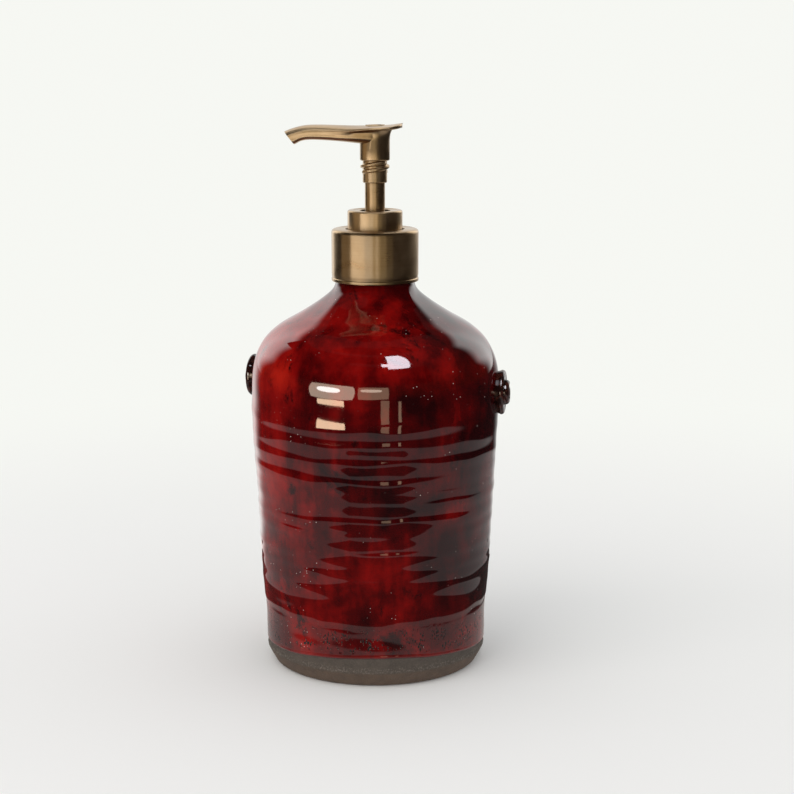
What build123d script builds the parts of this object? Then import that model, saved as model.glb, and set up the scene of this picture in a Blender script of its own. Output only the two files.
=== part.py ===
"""Refillable detergent bottle: a thrown stoneware body with a lock-down lotion pump.

Millimetres. +Z is up, the origin is the centre of the foot's resting face, and the spout points along -X.
Each separate piece is written to parts/NODE.step.
"""

import os
from math import cos, radians, sin

from build123d import *

# Driving dimensions of the stoneware body.
FOOT_RADIUS = 39.6
FOOT_TOP = 6.5
WALL = 5.0
FLOOR = 7.5
BELLY_RADIUS = 47.6
BELLY_HEIGHT = 103.0
RIM_RADIUS = 14.3
RIM_TOP = 150.0
NECK_BORE = 10.6

# Applied clay ornaments, one on each side of the shoulder.
LEFT_SPRIG_ANGLE = 166.0
LEFT_SPRIG_HEIGHT = 109.0
LEFT_SPRIG_RADIUS = 8.3
LEFT_COIL_RADIUS = 5.2
RIGHT_SPRIG_ANGLE = -8.5
RIGHT_SPRIG_HEIGHT = 105.9
RIGHT_SPRIG_RADIUS = 8.7
RIGHT_COIL_RADIUS = 6.0
SPRIG_THICKNESS = 2.4
COIL_HALF_WIDTH = 1.25
COIL_RISE = 1.9

# 28 mm screw finish: thread crest and root, pitch and height above the rim.
THREAD_CREST = 13.7
THREAD_ROOT = 12.6
THREAD_PITCH = 4.233
FINISH_TOP = 161.6
INSERT_BORE = 9.2
SPIGOT_RADIUS = 10.2
SPIGOT_DEPTH = 8.0
FLANGE_RADIUS = 13.4
FLANGE_THICKNESS = 1.4

# Screw collar.
COLLAR_RADIUS = 16.5
COLLAR_BOTTOM = 147.6
COLLAR_TOP = 167.2
SHEATH = 0.5
LINER_BOTTOM = 150.6
LINER_BORE = 13.9
LINER_TOP_WALL = 1.6
LINER_HOLE = 10.8
COLLAR_HOLE = 11.2

# Gasket, housing and dip tube, from the finish down.
SEAL_OUTER = 12.4
GASKET_THICKNESS = 1.0
HOUSING_FLANGE = 1.2
HOUSING_RADIUS = 8.0
CYLINDER_BORE = 6.5
SPRING_LEDGE = 113.0
NIPPLE_RADIUS = 4.7
NIPPLE_BOTTOM = 96.0
TUBE_RADIUS = 3.5
TUBE_BORE = 2.5
TUBE_TOP = 103.5
TUBE_BOTTOM = 10.0

# Lock ring around the stem.
RING_TOP = 174.2
RING_RADIUS = 10.4
RING_MOUTH = 5.8
RING_THREAD_BORE = 5.65
RING_GUIDE_BORE = 3.95
RING_FLANGE = 1.2
PLUG_BOTTOM = 158.5

# Moving pieces on the stem.
STEM_RADIUS = 3.3
STEM_BORE = 2.0
STEM_BOTTOM = 149.6
STEM_TOP = 200.9
STEM_SHEATH_RADIUS = 3.8
STEM_STOP_RADIUS = 4.4
SEAT_BOTTOM = 146.5
SEAT_RADIUS = 5.8
PISTON_RADIUS = 6.4
PISTON_TOP = 156.4
SPRING_MEAN_RADIUS = 4.9
SPRING_WIRE = 0.45
SPRING_TURNS = 9
BALL_RADIUS = 2.4
BALL_CENTRE = 106.85

# Lock skirt: a two-start thread below the head.
SKIRT_BOTTOM = 184.45
SKIRT_TOP = 197.5
SKIRT_RADIUS = 4.6
SKIRT_CREST = 5.5
SKIRT_LEAD = 4.4
SKIRT_THREAD_BOTTOM = 188.3
SKIRT_TURNS = 0.95

# Head with spout.
BOSS_RADIUS = 5.7
BOSS_BOTTOM = 192.7
NOZZLE_HEIGHT = 203.15
NOZZLE_RADIUS = 2.0
NOZZLE_BORE = 1.4
NOZZLE_SOCKET_TOP = 205.1
SPOUT_BEND_START = -22.0
SPOUT_BEND_RADIUS = 27.0
SPOUT_BEND_ANGLE = 24.0


def section(*edges):
    """Closed half section in the XZ plane, turned about Z into a solid."""
    return revolve(make_face(Curve() + list(edges)), Axis.Z)


def turned(*points):
    """Solid of revolution about Z from the (radius, height) corners of its half section."""
    return section(Polyline(*[(r, 0, z) for r, z in points], close=True))


def ring(inner, outer, bottom, top):
    """Plain ring about Z."""
    return turned((inner, bottom), (outer, bottom), (outer, top), (inner, top))


def curve(*points, tangents=()):
    """Smooth curve through (x or radius, height) points in the XZ plane."""
    places = [(x, 0, z) for x, z in points]
    ends = [(x, 0, z) for x, z in tangents]
    if ends:
        return Spline(*places, tangents=ends)
    return Spline(*places)


def quarter(radius, top, edge):
    """Quarter round of a lathe's outer top corner, in the XZ plane."""
    drop = edge * (1 - sin(radians(45)))
    return ThreePointArc((radius, 0, top - edge), (radius - drop, 0, top - drop), (radius - edge, 0, top))


def line(*points):
    """Straight runs through (x or radius, height) points in the XZ plane."""
    return Polyline(*[(x, 0, z) for x, z in points])


def thread_start(root, crest, lead, turns, bottom, start_angle, foot_width):
    """One start of a right-hand thread: a blunt triangular ridge carried along a helix.

    root and crest are radii, and a crest inside the root makes an internal thread.
    """
    outward = 1 if crest > root else -1
    bite = 0.25
    path = Helix(pitch=lead, height=lead * turns, radius=root)
    across = Plane(origin=path @ 0, x_dir=(outward, 0, 0), z_dir=path % 0)
    depth = abs(crest - root)
    half = foot_width / 2
    tip = foot_width / 6
    outline = Polyline(
        (-bite, -half), (0, -half), (depth, -tip), (depth, tip), (0, half), (-bite, half), close=True,
    )
    profile = across * make_face(outline)
    return Pos(0, 0, bottom) * Rot(0, 0, start_angle) * sweep(profile, path=path, is_frenet=True)


def ceramic_bottle():
    """Thrown body: trimmed foot, almost straight wall, sloping shoulder and short neck."""
    foot_top = (42.2, FOOT_TOP)
    belly = (BELLY_RADIUS, BELLY_HEIGHT)
    inner_belly = (BELLY_RADIUS - WALL, BELLY_HEIGHT)
    wall = curve(
        foot_top, (43.5, 25), (44.75, 45), (45.9, 70), (47.25, 91), belly,
        tangents=((0.07, 1), (0, 1)),
    )
    shoulder = curve(
        belly, (47.0, 115), (43.4, 124), (37.6, 130),
        (28.7, 135.3), (21.0, 140.3), (16.1, 144.4), (14.5, 148.6),
        tangents=((0, 1), (-0.05, 1)),
    )
    neck = line((14.5, 148.6), (RIM_RADIUS, RIM_TOP), (NECK_BORE, RIM_TOP), (NECK_BORE, 143.5))
    inner_shoulder = curve(
        (NECK_BORE, 143.5), (11.9, 139.8), (17.0, 135.0), (25.5, 129.8),
        (34.5, 124.0), (40.2, 116.5), inner_belly,
        tangents=((0, -1), (0, -1)),
    )
    inner_wall = line(inner_belly, (37.6, 12))
    floor_corner = ThreePointArc((37.6, 0, 12), (36.2, 0, 8.9), (33.1, 0, FLOOR))
    foot = line(
        (33.1, FLOOR), (0, FLOOR), (0, 1.5), (31, 1.5), (33, 0),
        (FOOT_RADIUS - 0.6, 0), (FOOT_RADIUS, 0.6), (41.7, 4.6), foot_top,
    )
    return section(wall, shoulder, neck, inner_shoulder, inner_wall, floor_corner, foot)


def on_shoulder(piece, angle, height):
    """Stands a piece made about Z on the wall, facing outwards at an angle from +X."""
    return Rot(0, 0, angle) * Pos(BELLY_RADIUS, 0, height) * Rot(0, 90, 0) * piece


def sprig_disc(angle, height, radius, bottle):
    """Flat clay button with a rounded rim, cut to the wall that it is stuck on."""
    top = SPRIG_THICKNESS
    rim = ThreePointArc((radius - 0.8, 0, 0), (radius, 0, top / 2), (radius - 0.9, 0, top))
    button = section(rim, line((radius - 0.9, top), (0, top), (0, 0), (radius - 0.8, 0)))
    back = Pos(0, 0, -1.5) * Cylinder(radius - 0.8, 3.0)
    return on_shoulder(button + back, angle, height) - bottle


def sprig_coil(angle, height, radius):
    """Rolled clay ring with a pip in its middle, on the button's face."""
    base = SPRIG_THICKNESS
    inner = radius - 2 * COIL_HALF_WIDTH
    middle = radius - COIL_HALF_WIDTH
    roll = section(
        ThreePointArc((inner, 0, base), (middle, 0, base + COIL_RISE), (radius, 0, base)),
        line((radius, base), (inner, base)),
    )
    pip = split(Pos(0, 0, base - 0.45) * Sphere(2.1), bisect_by=Plane.XY.offset(base))
    return on_shoulder(roll + pip, angle, height)


def neck_insert():
    """Plastic screw finish glued into the clay neck: spigot, flange and one external thread."""
    flange_top = RIM_TOP + FLANGE_THICKNESS
    body = turned(
        (INSERT_BORE, RIM_TOP - SPIGOT_DEPTH), (SPIGOT_RADIUS, RIM_TOP - SPIGOT_DEPTH),
        (SPIGOT_RADIUS, RIM_TOP), (FLANGE_RADIUS, RIM_TOP), (FLANGE_RADIUS, flange_top),
        (THREAD_ROOT, flange_top), (THREAD_ROOT, FINISH_TOP), (INSERT_BORE, FINISH_TOP),
    )
    return body + thread_start(THREAD_ROOT, THREAD_CREST, THREAD_PITCH, 1.25, flange_top + 1.8, 40, 2.2)


def adhesive_ring():
    """Glue line between the spigot and the clay."""
    return ring(SPIGOT_RADIUS, NECK_BORE, RIM_TOP - SPIGOT_DEPTH + 1.5, RIM_TOP)


def collar_sheath():
    """Drawn metal cup over the screw cap, open round the lock ring."""
    inner = COLLAR_RADIUS - SHEATH
    edge = 1.3
    lip = 0.35
    outer_corner = quarter(COLLAR_RADIUS, COLLAR_TOP, edge)
    skin = line(
        (COLLAR_RADIUS - edge, COLLAR_TOP), (COLLAR_HOLE, COLLAR_TOP), (COLLAR_HOLE, COLLAR_TOP - SHEATH),
        (inner - edge + SHEATH, COLLAR_TOP - SHEATH), (inner, COLLAR_TOP - edge),
        (inner, COLLAR_BOTTOM),
        (COLLAR_RADIUS - lip, COLLAR_BOTTOM), (COLLAR_RADIUS, COLLAR_BOTTOM + lip),
        (COLLAR_RADIUS, COLLAR_TOP - edge),
    )
    return section(outer_corner, skin)


def collar_liner():
    """Plastic screw cap inside the sheath; its bore runs clear of the finish's thread."""
    outer = COLLAR_RADIUS - SHEATH
    top = COLLAR_TOP - SHEATH
    return turned(
        (LINER_BORE, LINER_BOTTOM), (outer, LINER_BOTTOM), (outer, top - 0.8), (outer - 0.8, top),
        (LINER_HOLE, top),
        (LINER_HOLE, top - LINER_TOP_WALL), (LINER_BORE, top - LINER_TOP_WALL),
    )


def neck_gasket():
    """Flat washer that seals the housing's flange on the finish."""
    return ring(HOUSING_RADIUS + 0.1, SEAL_OUTER, FINISH_TOP, FINISH_TOP + GASKET_THICKNESS)


def pump_housing():
    """Pump cylinder: flange, bore, spring ledge, ball seat and the nipple that grips the dip tube."""
    flange_bottom = FINISH_TOP + GASKET_THICKNESS
    flange_top = flange_bottom + HOUSING_FLANGE
    return turned(
        (CYLINDER_BORE, flange_top), (SEAL_OUTER, flange_top), (SEAL_OUTER, flange_bottom),
        (HOUSING_RADIUS, flange_bottom), (HOUSING_RADIUS, 112.0), (5.6, 108.0), (5.6, 104.6),
        (NIPPLE_RADIUS, 103.6), (NIPPLE_RADIUS, NIPPLE_BOTTOM), (TUBE_RADIUS, NIPPLE_BOTTOM),
        (TUBE_RADIUS, TUBE_TOP), (1.8, TUBE_TOP), (1.8, 105.2), (3.4, 107.5), (3.4, 111.4),
        (2.2, 111.8), (2.2, 112.4), (3.4, SPRING_LEDGE), (CYLINDER_BORE, SPRING_LEDGE),
    )


def dip_tube():
    """Straight tube to just above the bottle's floor, its end cut at an angle."""
    tube = ring(TUBE_BORE, TUBE_RADIUS, TUBE_BOTTOM, TUBE_TOP)
    cutter = Pos(0, 0, TUBE_BOTTOM - 6.5) * Rot(0, 30, 0) * Box(30, 30, 13)
    return tube - cutter


def inlet_ball():
    """Ball of the inlet valve, resting on its seat."""
    return Pos(0, 0, BALL_CENTRE) * Sphere(BALL_RADIUS)


def pump_spring():
    """Return spring between the housing's ledge and the piston seat."""
    gap = 0.05
    bottom = SPRING_LEDGE + SPRING_WIRE + gap
    rise = SEAT_BOTTOM - SPRING_LEDGE - 2 * (SPRING_WIRE + gap)
    path = Helix(pitch=rise / SPRING_TURNS, height=rise, radius=SPRING_MEAN_RADIUS)
    wire = Plane(origin=path @ 0, x_dir=(1, 0, 0), z_dir=path % 0) * Circle(SPRING_WIRE)
    coil = Pos(0, 0, bottom) * sweep(wire, path=path, is_frenet=True)
    ground = Cylinder(10, SEAT_BOTTOM - SPRING_LEDGE - 2 * gap)
    return coil & Pos(0, 0, (SPRING_LEDGE + SEAT_BOTTOM) / 2) * ground


def lock_ring_core():
    """Guide that snaps into the housing: plug, flange, threaded tower and the stem's guide bore."""
    flange_bottom = FINISH_TOP + GASKET_THICKNESS + HOUSING_FLANGE
    flange_top = flange_bottom + RING_FLANGE
    tower = RING_RADIUS - SHEATH
    top = RING_TOP - SHEATH
    body = turned(
        (RING_GUIDE_BORE, PLUG_BOTTOM), (CYLINDER_BORE, PLUG_BOTTOM), (CYLINDER_BORE, flange_bottom),
        (SEAL_OUTER, flange_bottom), (SEAL_OUTER, flange_top), (tower, flange_top), (tower, top),
        (RING_MOUTH, top), (RING_MOUTH, top - 1.2), (RING_THREAD_BORE, top - 1.4),
        (RING_THREAD_BORE, flange_top), (RING_GUIDE_BORE, flange_top - 1.2),
    )
    for start in (0, 180):
        body += thread_start(RING_THREAD_BORE, 4.95, SKIRT_LEAD, 0.8, flange_top + 1.5, start, 1.3)
    return body


def lock_ring_sheath():
    """Drawn metal cap over the lock ring's tower."""
    inner = RING_RADIUS - SHEATH
    flange_top = FINISH_TOP + GASKET_THICKNESS + HOUSING_FLANGE + RING_FLANGE
    edge = 0.7
    corner = quarter(RING_RADIUS, RING_TOP, edge)
    skin = line(
        (RING_RADIUS - edge, RING_TOP), (RING_MOUTH, RING_TOP), (RING_MOUTH, RING_TOP - SHEATH),
        (inner, RING_TOP - SHEATH), (inner, flange_top), (RING_RADIUS, flange_top),
        (RING_RADIUS, RING_TOP - edge),
    )
    return section(corner, skin)


def piston_seat():
    """Valve pin clipped in the stem: spring flange, sealing cone and a spigot inside the spring."""
    flange_top = SEAT_BOTTOM + 1.5
    return turned(
        (0, SEAT_BOTTOM - 5.5), (2.6, SEAT_BOTTOM - 5.5), (3.6, SEAT_BOTTOM - 4.5), (3.6, SEAT_BOTTOM),
        (SEAT_RADIUS, SEAT_BOTTOM), (SEAT_RADIUS, flange_top), (4.6, flange_top),
        (3.9, STEM_BOTTOM - 0.1), (1.9, STEM_BOTTOM - 0.1), (1.9, 156.0), (1.4, 157.0), (0, 157.0),
    )


def piston():
    """Piston sleeve with a sealing lip at each end, free to slip a little on the stem."""
    bore = STEM_RADIUS + 0.1
    bottom = STEM_BOTTOM + 0.15
    return turned(
        (bore, bottom), (4.7, bottom), (PISTON_RADIUS - 0.5, bottom - 0.2), (PISTON_RADIUS, bottom),
        (PISTON_RADIUS, bottom + 1.2), (4.9, bottom + 2.2), (4.9, PISTON_TOP - 2.2),
        (PISTON_RADIUS, PISTON_TOP - 1.2), (PISTON_RADIUS, PISTON_TOP), (PISTON_RADIUS - 0.5, PISTON_TOP),
        (5.0, PISTON_TOP - 1.0), (bore, PISTON_TOP - 1.0),
    )


def stem():
    """Hollow piston rod with two side ports at its foot and a stop collar below the guide."""
    body = turned(
        (STEM_BORE, STEM_BOTTOM), (STEM_RADIUS, STEM_BOTTOM), (STEM_RADIUS, 157.6),
        (STEM_STOP_RADIUS, 157.6), (STEM_STOP_RADIUS, PLUG_BOTTOM - 0.05),
        (STEM_RADIUS, PLUG_BOTTOM - 0.05), (STEM_RADIUS, STEM_TOP), (STEM_BORE, STEM_TOP),
    )
    port = Pos(0, 0, STEM_BOTTOM + 1.0) * Box(2 * STEM_RADIUS + 1, 1.4, 2.0)
    return body - port


def stem_sheath():
    """Thin metal tube over the stem, the part of it that shows."""
    return ring(STEM_RADIUS, STEM_SHEATH_RADIUS, PLUG_BOTTOM, SKIRT_TOP)


def lock_skirt():
    """Sleeve under the head with a two-start thread that screws into the lock ring to hold it down."""
    chamfer = 0.4
    body = turned(
        (STEM_SHEATH_RADIUS, SKIRT_BOTTOM), (SKIRT_RADIUS - chamfer, SKIRT_BOTTOM),
        (SKIRT_RADIUS, SKIRT_BOTTOM + chamfer),
        (SKIRT_RADIUS, SKIRT_TOP), (STEM_SHEATH_RADIUS, SKIRT_TOP),
    )
    for start in (0, 180):
        body += thread_start(
            SKIRT_RADIUS, SKIRT_CREST, SKIRT_LEAD, SKIRT_TURNS, SKIRT_THREAD_BOTTOM, start, 1.3
        )
    below_boss = ring(0.1, 20, SKIRT_BOTTOM, BOSS_BOTTOM)
    inside_boss = ring(0.1, SKIRT_RADIUS, BOSS_BOTTOM, SKIRT_TOP)
    return body & below_boss + inside_boss


def nozzle_path():
    """Middle line of the spout's channel: straight out from the stem, then bending down."""
    bend = Vector(SPOUT_BEND_START, 0, NOZZLE_HEIGHT)
    low = bend - Vector(0, 0, SPOUT_BEND_RADIUS)
    turn = radians(SPOUT_BEND_ANGLE)
    middle = low + Vector(-sin(turn / 2), 0, cos(turn / 2)) * SPOUT_BEND_RADIUS
    end = low + Vector(-sin(turn), 0, cos(turn)) * SPOUT_BEND_RADIUS
    return Line((0, 0, NOZZLE_HEIGHT), bend) + ThreePointArc(bend, middle, end)


def along_nozzle(radius):
    """Round bar along the spout's channel."""
    path = nozzle_path()
    return sweep(Plane(origin=(0, 0, NOZZLE_HEIGHT), z_dir=(-1, 0, 0)) * Circle(radius), path=path)


def beyond_tip():
    """Block that trims everything past the spout's slanting mouth."""
    return Pos(-31.95, 0, 201.2) * Rot(0, -38.2, 0) * Pos(-10, 0, 0) * Box(20, 40, 40)


def nozzle_outer():
    """Outside of the nozzle liner: a socket over the stem and a tube to the spout's mouth."""
    socket = ring(0, SKIRT_RADIUS, SKIRT_TOP, NOZZLE_SOCKET_TOP)
    return socket + along_nozzle(NOZZLE_RADIUS)


def nozzle_liner():
    """Plastic channel inside the head, from the stem to the mouth."""
    stem_socket = Pos(0, 0, (SKIRT_TOP + STEM_TOP) / 2) * Cylinder(STEM_RADIUS, STEM_TOP - SKIRT_TOP)
    riser = Pos(0, 0, (STEM_TOP + 204.3) / 2) * Cylinder(STEM_BORE, 204.3 - STEM_TOP)
    return nozzle_outer() - stem_socket - riser - along_nozzle(NOZZLE_BORE) - beyond_tip()


def head_shell():
    """Metal head: thumb plate, drooping spout and round boss."""
    top = curve(
        (10.35, 207.0), (7.8, 206.3), (4.0, 205.85), (-8, 205.75),
        (-20, 206.05), (-26, 205.85), (-30.7, 204.75), (-34.2, 203.4),
    )
    plate_under = curve(
        (-34.2, 201.9), (-31.4, 202.75), (-26, 204.2), (-20, 204.75),
        (-10, 204.4), (0, 204.25), (6.3, 204.35), (10.35, 204.85),
    )
    front_edge = line((-34.2, 203.4), (-34.2, 201.9))
    back_edge = line((10.35, 204.85), (10.35, 207.0))
    side = make_face(top + front_edge + plate_under + back_edge)
    flank = Spline(
        (-35, 3.9), (-26, 4.3), (-16, 5.3), (-9, 7.2), (-3, 9.1), (2.5, 9.8), (7.4, 7.6), (10.35, 0),
        tangents=((1, 0), (0, -1)),
    )
    plan = make_face(flank + mirror(flank, Plane.XZ) + Line((-35, 3.9), (-35, -3.9)))
    plate = extrude(side, amount=15, both=True) & Pos(0, 0, 190) * extrude(plan, amount=30)

    spout_top = curve((0, 205.0), (-20, 205.4), (-26, 205.2), (-30.7, 204.2), (-34.2, 202.9))
    spout_under = curve(
        (-30.0, 198.75), (-27.4, 200.0), (-24, 200.45), (-17.3, 200.2), (-10.7, 199.65), (-4.0, 198.9),
    )
    spout_front = line((-34.2, 202.9), (-30.0, 198.75))
    spout_back = line((-4.0, 198.9), (0, 198.6), (0, 205.0))
    spout_side = make_face(spout_top + spout_front + spout_under + spout_back)
    spout_flank = Spline((-35, 3.0), (-24, 3.3), (-12, 4.0), (0, 5.2))
    spout_ends = Line((-35, 3.0), (-35, -3.0)) + Line((0, 5.2), (0, -5.2))
    spout_plan = make_face(spout_flank + mirror(spout_flank, Plane.XZ) + spout_ends)
    spout = extrude(spout_side, amount=15, both=True) & Pos(0, 0, 190) * extrude(spout_plan, amount=30)

    boss = turned(
        (0, BOSS_BOTTOM), (BOSS_RADIUS - 0.3, BOSS_BOTTOM), (BOSS_RADIUS, BOSS_BOTTOM + 0.3),
        (BOSS_RADIUS, 201.5), (6.6, 204.6), (0, 204.6),
    )
    bore = ring(0, SKIRT_RADIUS, BOSS_BOTTOM - 1, SKIRT_TOP)
    return plate + spout + boss - bore - nozzle_outer() - beyond_tip()


def build():
    """Every node of the bottle by name."""
    bottle = ceramic_bottle()
    return {
        "ceramic_bottle": bottle,
        "left_sprig_disc": sprig_disc(LEFT_SPRIG_ANGLE, LEFT_SPRIG_HEIGHT, LEFT_SPRIG_RADIUS, bottle),
        "left_sprig_coil": sprig_coil(LEFT_SPRIG_ANGLE, LEFT_SPRIG_HEIGHT, LEFT_COIL_RADIUS),
        "right_sprig_disc": sprig_disc(RIGHT_SPRIG_ANGLE, RIGHT_SPRIG_HEIGHT, RIGHT_SPRIG_RADIUS, bottle),
        "right_sprig_coil": sprig_coil(RIGHT_SPRIG_ANGLE, RIGHT_SPRIG_HEIGHT - 0.6, RIGHT_COIL_RADIUS),
        "neck_insert": neck_insert(),
        "adhesive_ring": adhesive_ring(),
        "collar_sheath": collar_sheath(),
        "collar_liner": collar_liner(),
        "neck_gasket": neck_gasket(),
        "pump_housing": pump_housing(),
        "dip_tube": dip_tube(),
        "inlet_ball": inlet_ball(),
        "pump_spring": pump_spring(),
        "lock_ring_core": lock_ring_core(),
        "lock_ring_sheath": lock_ring_sheath(),
        "piston_seat": piston_seat(),
        "piston": piston(),
        "stem": stem(),
        "stem_sheath": stem_sheath(),
        "lock_skirt": lock_skirt(),
        "nozzle_liner": nozzle_liner(),
        "head_shell": head_shell(),
    }


os.makedirs("parts", exist_ok=True)
for name, shape in build().items():
    export_step(shape, f"parts/{name}.step")
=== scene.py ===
"""A thrown stoneware detergent bottle with a bronze lotion pump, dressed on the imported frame.

Sizes are in millimetres and become metres where a mesh is made. +Z is up, the spout points along -X and
the camera looks along +Y.
"""

import logging
import math
from dataclasses import dataclass
from enum import Enum
from typing import Any

import bmesh
import bpy
import numpy as np
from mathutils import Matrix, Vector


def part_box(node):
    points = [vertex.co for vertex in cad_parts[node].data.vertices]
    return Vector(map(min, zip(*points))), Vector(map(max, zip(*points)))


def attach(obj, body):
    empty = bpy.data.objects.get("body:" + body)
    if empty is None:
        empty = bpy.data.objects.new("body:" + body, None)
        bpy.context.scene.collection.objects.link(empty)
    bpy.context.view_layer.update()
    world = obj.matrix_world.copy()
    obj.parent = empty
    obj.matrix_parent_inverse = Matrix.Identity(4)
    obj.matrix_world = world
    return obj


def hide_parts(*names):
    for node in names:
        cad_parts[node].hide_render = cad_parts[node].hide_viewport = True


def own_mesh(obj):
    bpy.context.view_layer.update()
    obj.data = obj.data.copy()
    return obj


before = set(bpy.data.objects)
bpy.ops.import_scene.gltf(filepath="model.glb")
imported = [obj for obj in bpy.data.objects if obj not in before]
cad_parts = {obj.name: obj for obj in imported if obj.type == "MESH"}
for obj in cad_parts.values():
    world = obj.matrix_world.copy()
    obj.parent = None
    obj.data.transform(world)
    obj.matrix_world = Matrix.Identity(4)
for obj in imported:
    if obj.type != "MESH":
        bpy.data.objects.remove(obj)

LOG = logging.getLogger("dispenser")
MM = 0.001
TAU = 2.0 * math.pi
BACKDROP_COLOUR = (0.925, 0.935, 0.895)

Colour = tuple[float, float, float]
Points = tuple[tuple[float, ...], ...]


# ---------------------------------------------------------------- surfaces


def smooth(low: float, high: float, value: Any) -> Any:
    """Soft step from 0 to 1: t = (value - low) / (high - low), held to 0..1, gives t * t * (3 - 2 * t)."""
    t = np.clip((value - low) / (high - low), 0.0, 1.0)
    return t * t * (3.0 - 2.0 * t)


def through(points: Any, steps: int) -> np.ndarray:
    """Smooth curve through every point.

    Between neighbours b and c, with a before and d after, the curve at t is the Catmull-Rom sum
    (2b + (c - a)t + (2a - 5b + 4c - d)t^2 + (3b - a - 3c + d)t^3) / 2. The end points are mirrored outwards.

    Args:
        points: array of points along its first axis, with any shape behind it.
        steps: how many samples each run between two points has.
    Returns:
        The samples along the first axis, both ends included.
    """
    p = np.asarray(points, dtype=float)
    p = np.concatenate((2.0 * p[:1] - p[1:2], p, 2.0 * p[-1:] - p[-2:-1]))
    a, b, c, d = p[:-3], p[1:-2], p[2:-1], p[3:]
    t = (np.arange(steps) / steps).reshape((1, steps) + (1,) * (p.ndim - 1))
    a, b, c, d = (k[:, None] for k in (a, b, c, d))
    run = b + 0.5 * t * (c - a + t * (2 * a - 5 * b + 4 * c - d + t * (3 * b - a - 3 * c + d)))
    return np.concatenate((run.reshape((-1,) + p.shape[1:]), p[-2:-1]))


def filleted(corners: Points, steps: int = 6) -> np.ndarray:
    """Closed outline of straight runs whose corners are rounded.

    At corner p, with neighbours at unit directions u and v, the round is the quadratic curve from p + f*u to
    p + f*v with p as its middle control point: (1-t)^2 (p+fu) + 2t(1-t) p + t^2 (p+fv).

    Args:
        corners: (radius, height, fillet) in order round the outline.
        steps: how many runs each round has.
    Returns:
        Array (points, 2), not repeated at its end.
    """
    c = np.asarray(corners, dtype=float)
    p, f = c[:, None, :2], c[:, None, 2:]
    before, after = np.roll(p, 1, 0) - p, np.roll(p, -1, 0) - p
    u = before / np.linalg.norm(before, axis=2, keepdims=True)
    v = after / np.linalg.norm(after, axis=2, keepdims=True)
    t = np.linspace(0.0, 1.0, steps + 1)[None, :, None]
    rounds = (1 - t) ** 2 * (p + f * u) + 2 * t * (1 - t) * p + t**2 * (p + f * v)
    flat = rounds.reshape(-1, 2)
    return flat[np.linalg.norm(flat - np.roll(flat, 1, 0), axis=1) > 1e-6]


def ripple(angle: Any, seed: int, turns: tuple[int, ...] = (1, 2, 3, 5)) -> Any:
    """Gentle closed waver of about -1..1: the sum over whole n of sin(n * angle + phase) / n^0.6, evened out.

    Args:
        angle: radians.
        seed: picks the phases.
        turns: the whole numbers n.
    Returns:
        The waver at each angle.
    """
    phases = np.random.default_rng(seed).uniform(0.0, TAU, len(turns))
    waves = [np.sin(n * angle + phase) / n**0.6 for n, phase in zip(turns, phases)]
    return sum(waves) / math.sqrt(sum(n**-1.2 for n in turns)) / 1.4


def turned(profile: np.ndarray, around: int) -> np.ndarray:
    """Surface of revolution about Z: the grid point at row i, angle a is (r_i cos a, r_i sin a, z_i).

    Args:
        profile: array (rows, 2) of radius and height.
        around: points round each row.
    Returns:
        Grid (rows, around, 3).
    """
    a = np.arange(around) * TAU / around
    r, z = profile[:, 0, None], profile[:, 1, None]
    return np.stack((r * np.cos(a), r * np.sin(a), z + 0.0 * a), axis=-1)


def carried(
    path: np.ndarray, width: Any, height: Any, around: int, up: np.ndarray | None = None
) -> np.ndarray:
    """Oval bar along a path: the point at row i, angle a is path_i + w_i cos(a) side_i + h_i sin(a) up_i.

    Args:
        path: array (rows, 3).
        width: half width per row, or one number.
        height: half height per row, or one number.
        around: points round the bar.
        up: fixed direction for the bar's height, or None to use the one square to the path nearest to +Z.
    Returns:
        Grid (rows, around, 3).
    """
    along = np.gradient(path, axis=0)
    along /= np.linalg.norm(along, axis=1, keepdims=True)
    guide = np.array((0.0, 0.0, 1.0)) if up is None else up
    side = np.cross(guide, along)
    side /= np.linalg.norm(side, axis=1, keepdims=True)
    lift = np.cross(along, side)
    a = np.arange(around) * TAU / around
    w, h = (np.broadcast_to(np.asarray(k, dtype=float), (len(path),))[:, None, None] for k in (width, height))
    wide, tall = w * np.cos(a)[None, :, None], h * np.sin(a)[None, :, None]
    return path[:, None] + wide * side[:, None] + tall * lift[:, None]


def quads(rows: int, columns: int, loop_rows: bool, loop_columns: bool = True) -> np.ndarray:
    """Corner numbers of a grid's faces: (i, j), (i, j + 1), (i + 1, j + 1), (i + 1, j), counted row by row.

    Args:
        rows: of the grid.
        columns: of the grid.
        loop_rows: whether the last row joins the first.
        loop_columns: whether the last column joins the first.
    Returns:
        Array (faces, 4).
    """
    i = np.arange(rows if loop_rows else rows - 1)[:, None]
    j = np.arange(columns if loop_columns else columns - 1)[None, :]
    below, right = (i + 1) % rows, (j + 1) % columns
    corners = (i * columns + j, i * columns + right, below * columns + right, below * columns + j)
    return np.stack(corners, axis=-1).reshape(-1, 4)


def placed(name: str, mesh: bpy.types.Mesh) -> bpy.types.Object:
    """Links a new object with that mesh at the origin."""
    made = bpy.data.objects.new(name, mesh)
    bpy.context.scene.collection.objects.link(made)
    return made


def sheet(name: str, grid: np.ndarray) -> bpy.types.Object:
    """Open object made from a grid of points in metres."""
    mesh = bpy.data.meshes.new(name)
    mesh.from_pydata(grid.reshape(-1, 3).tolist(), [], quads(*grid.shape[:2], False, False).tolist())
    return placed(name, mesh)


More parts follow.
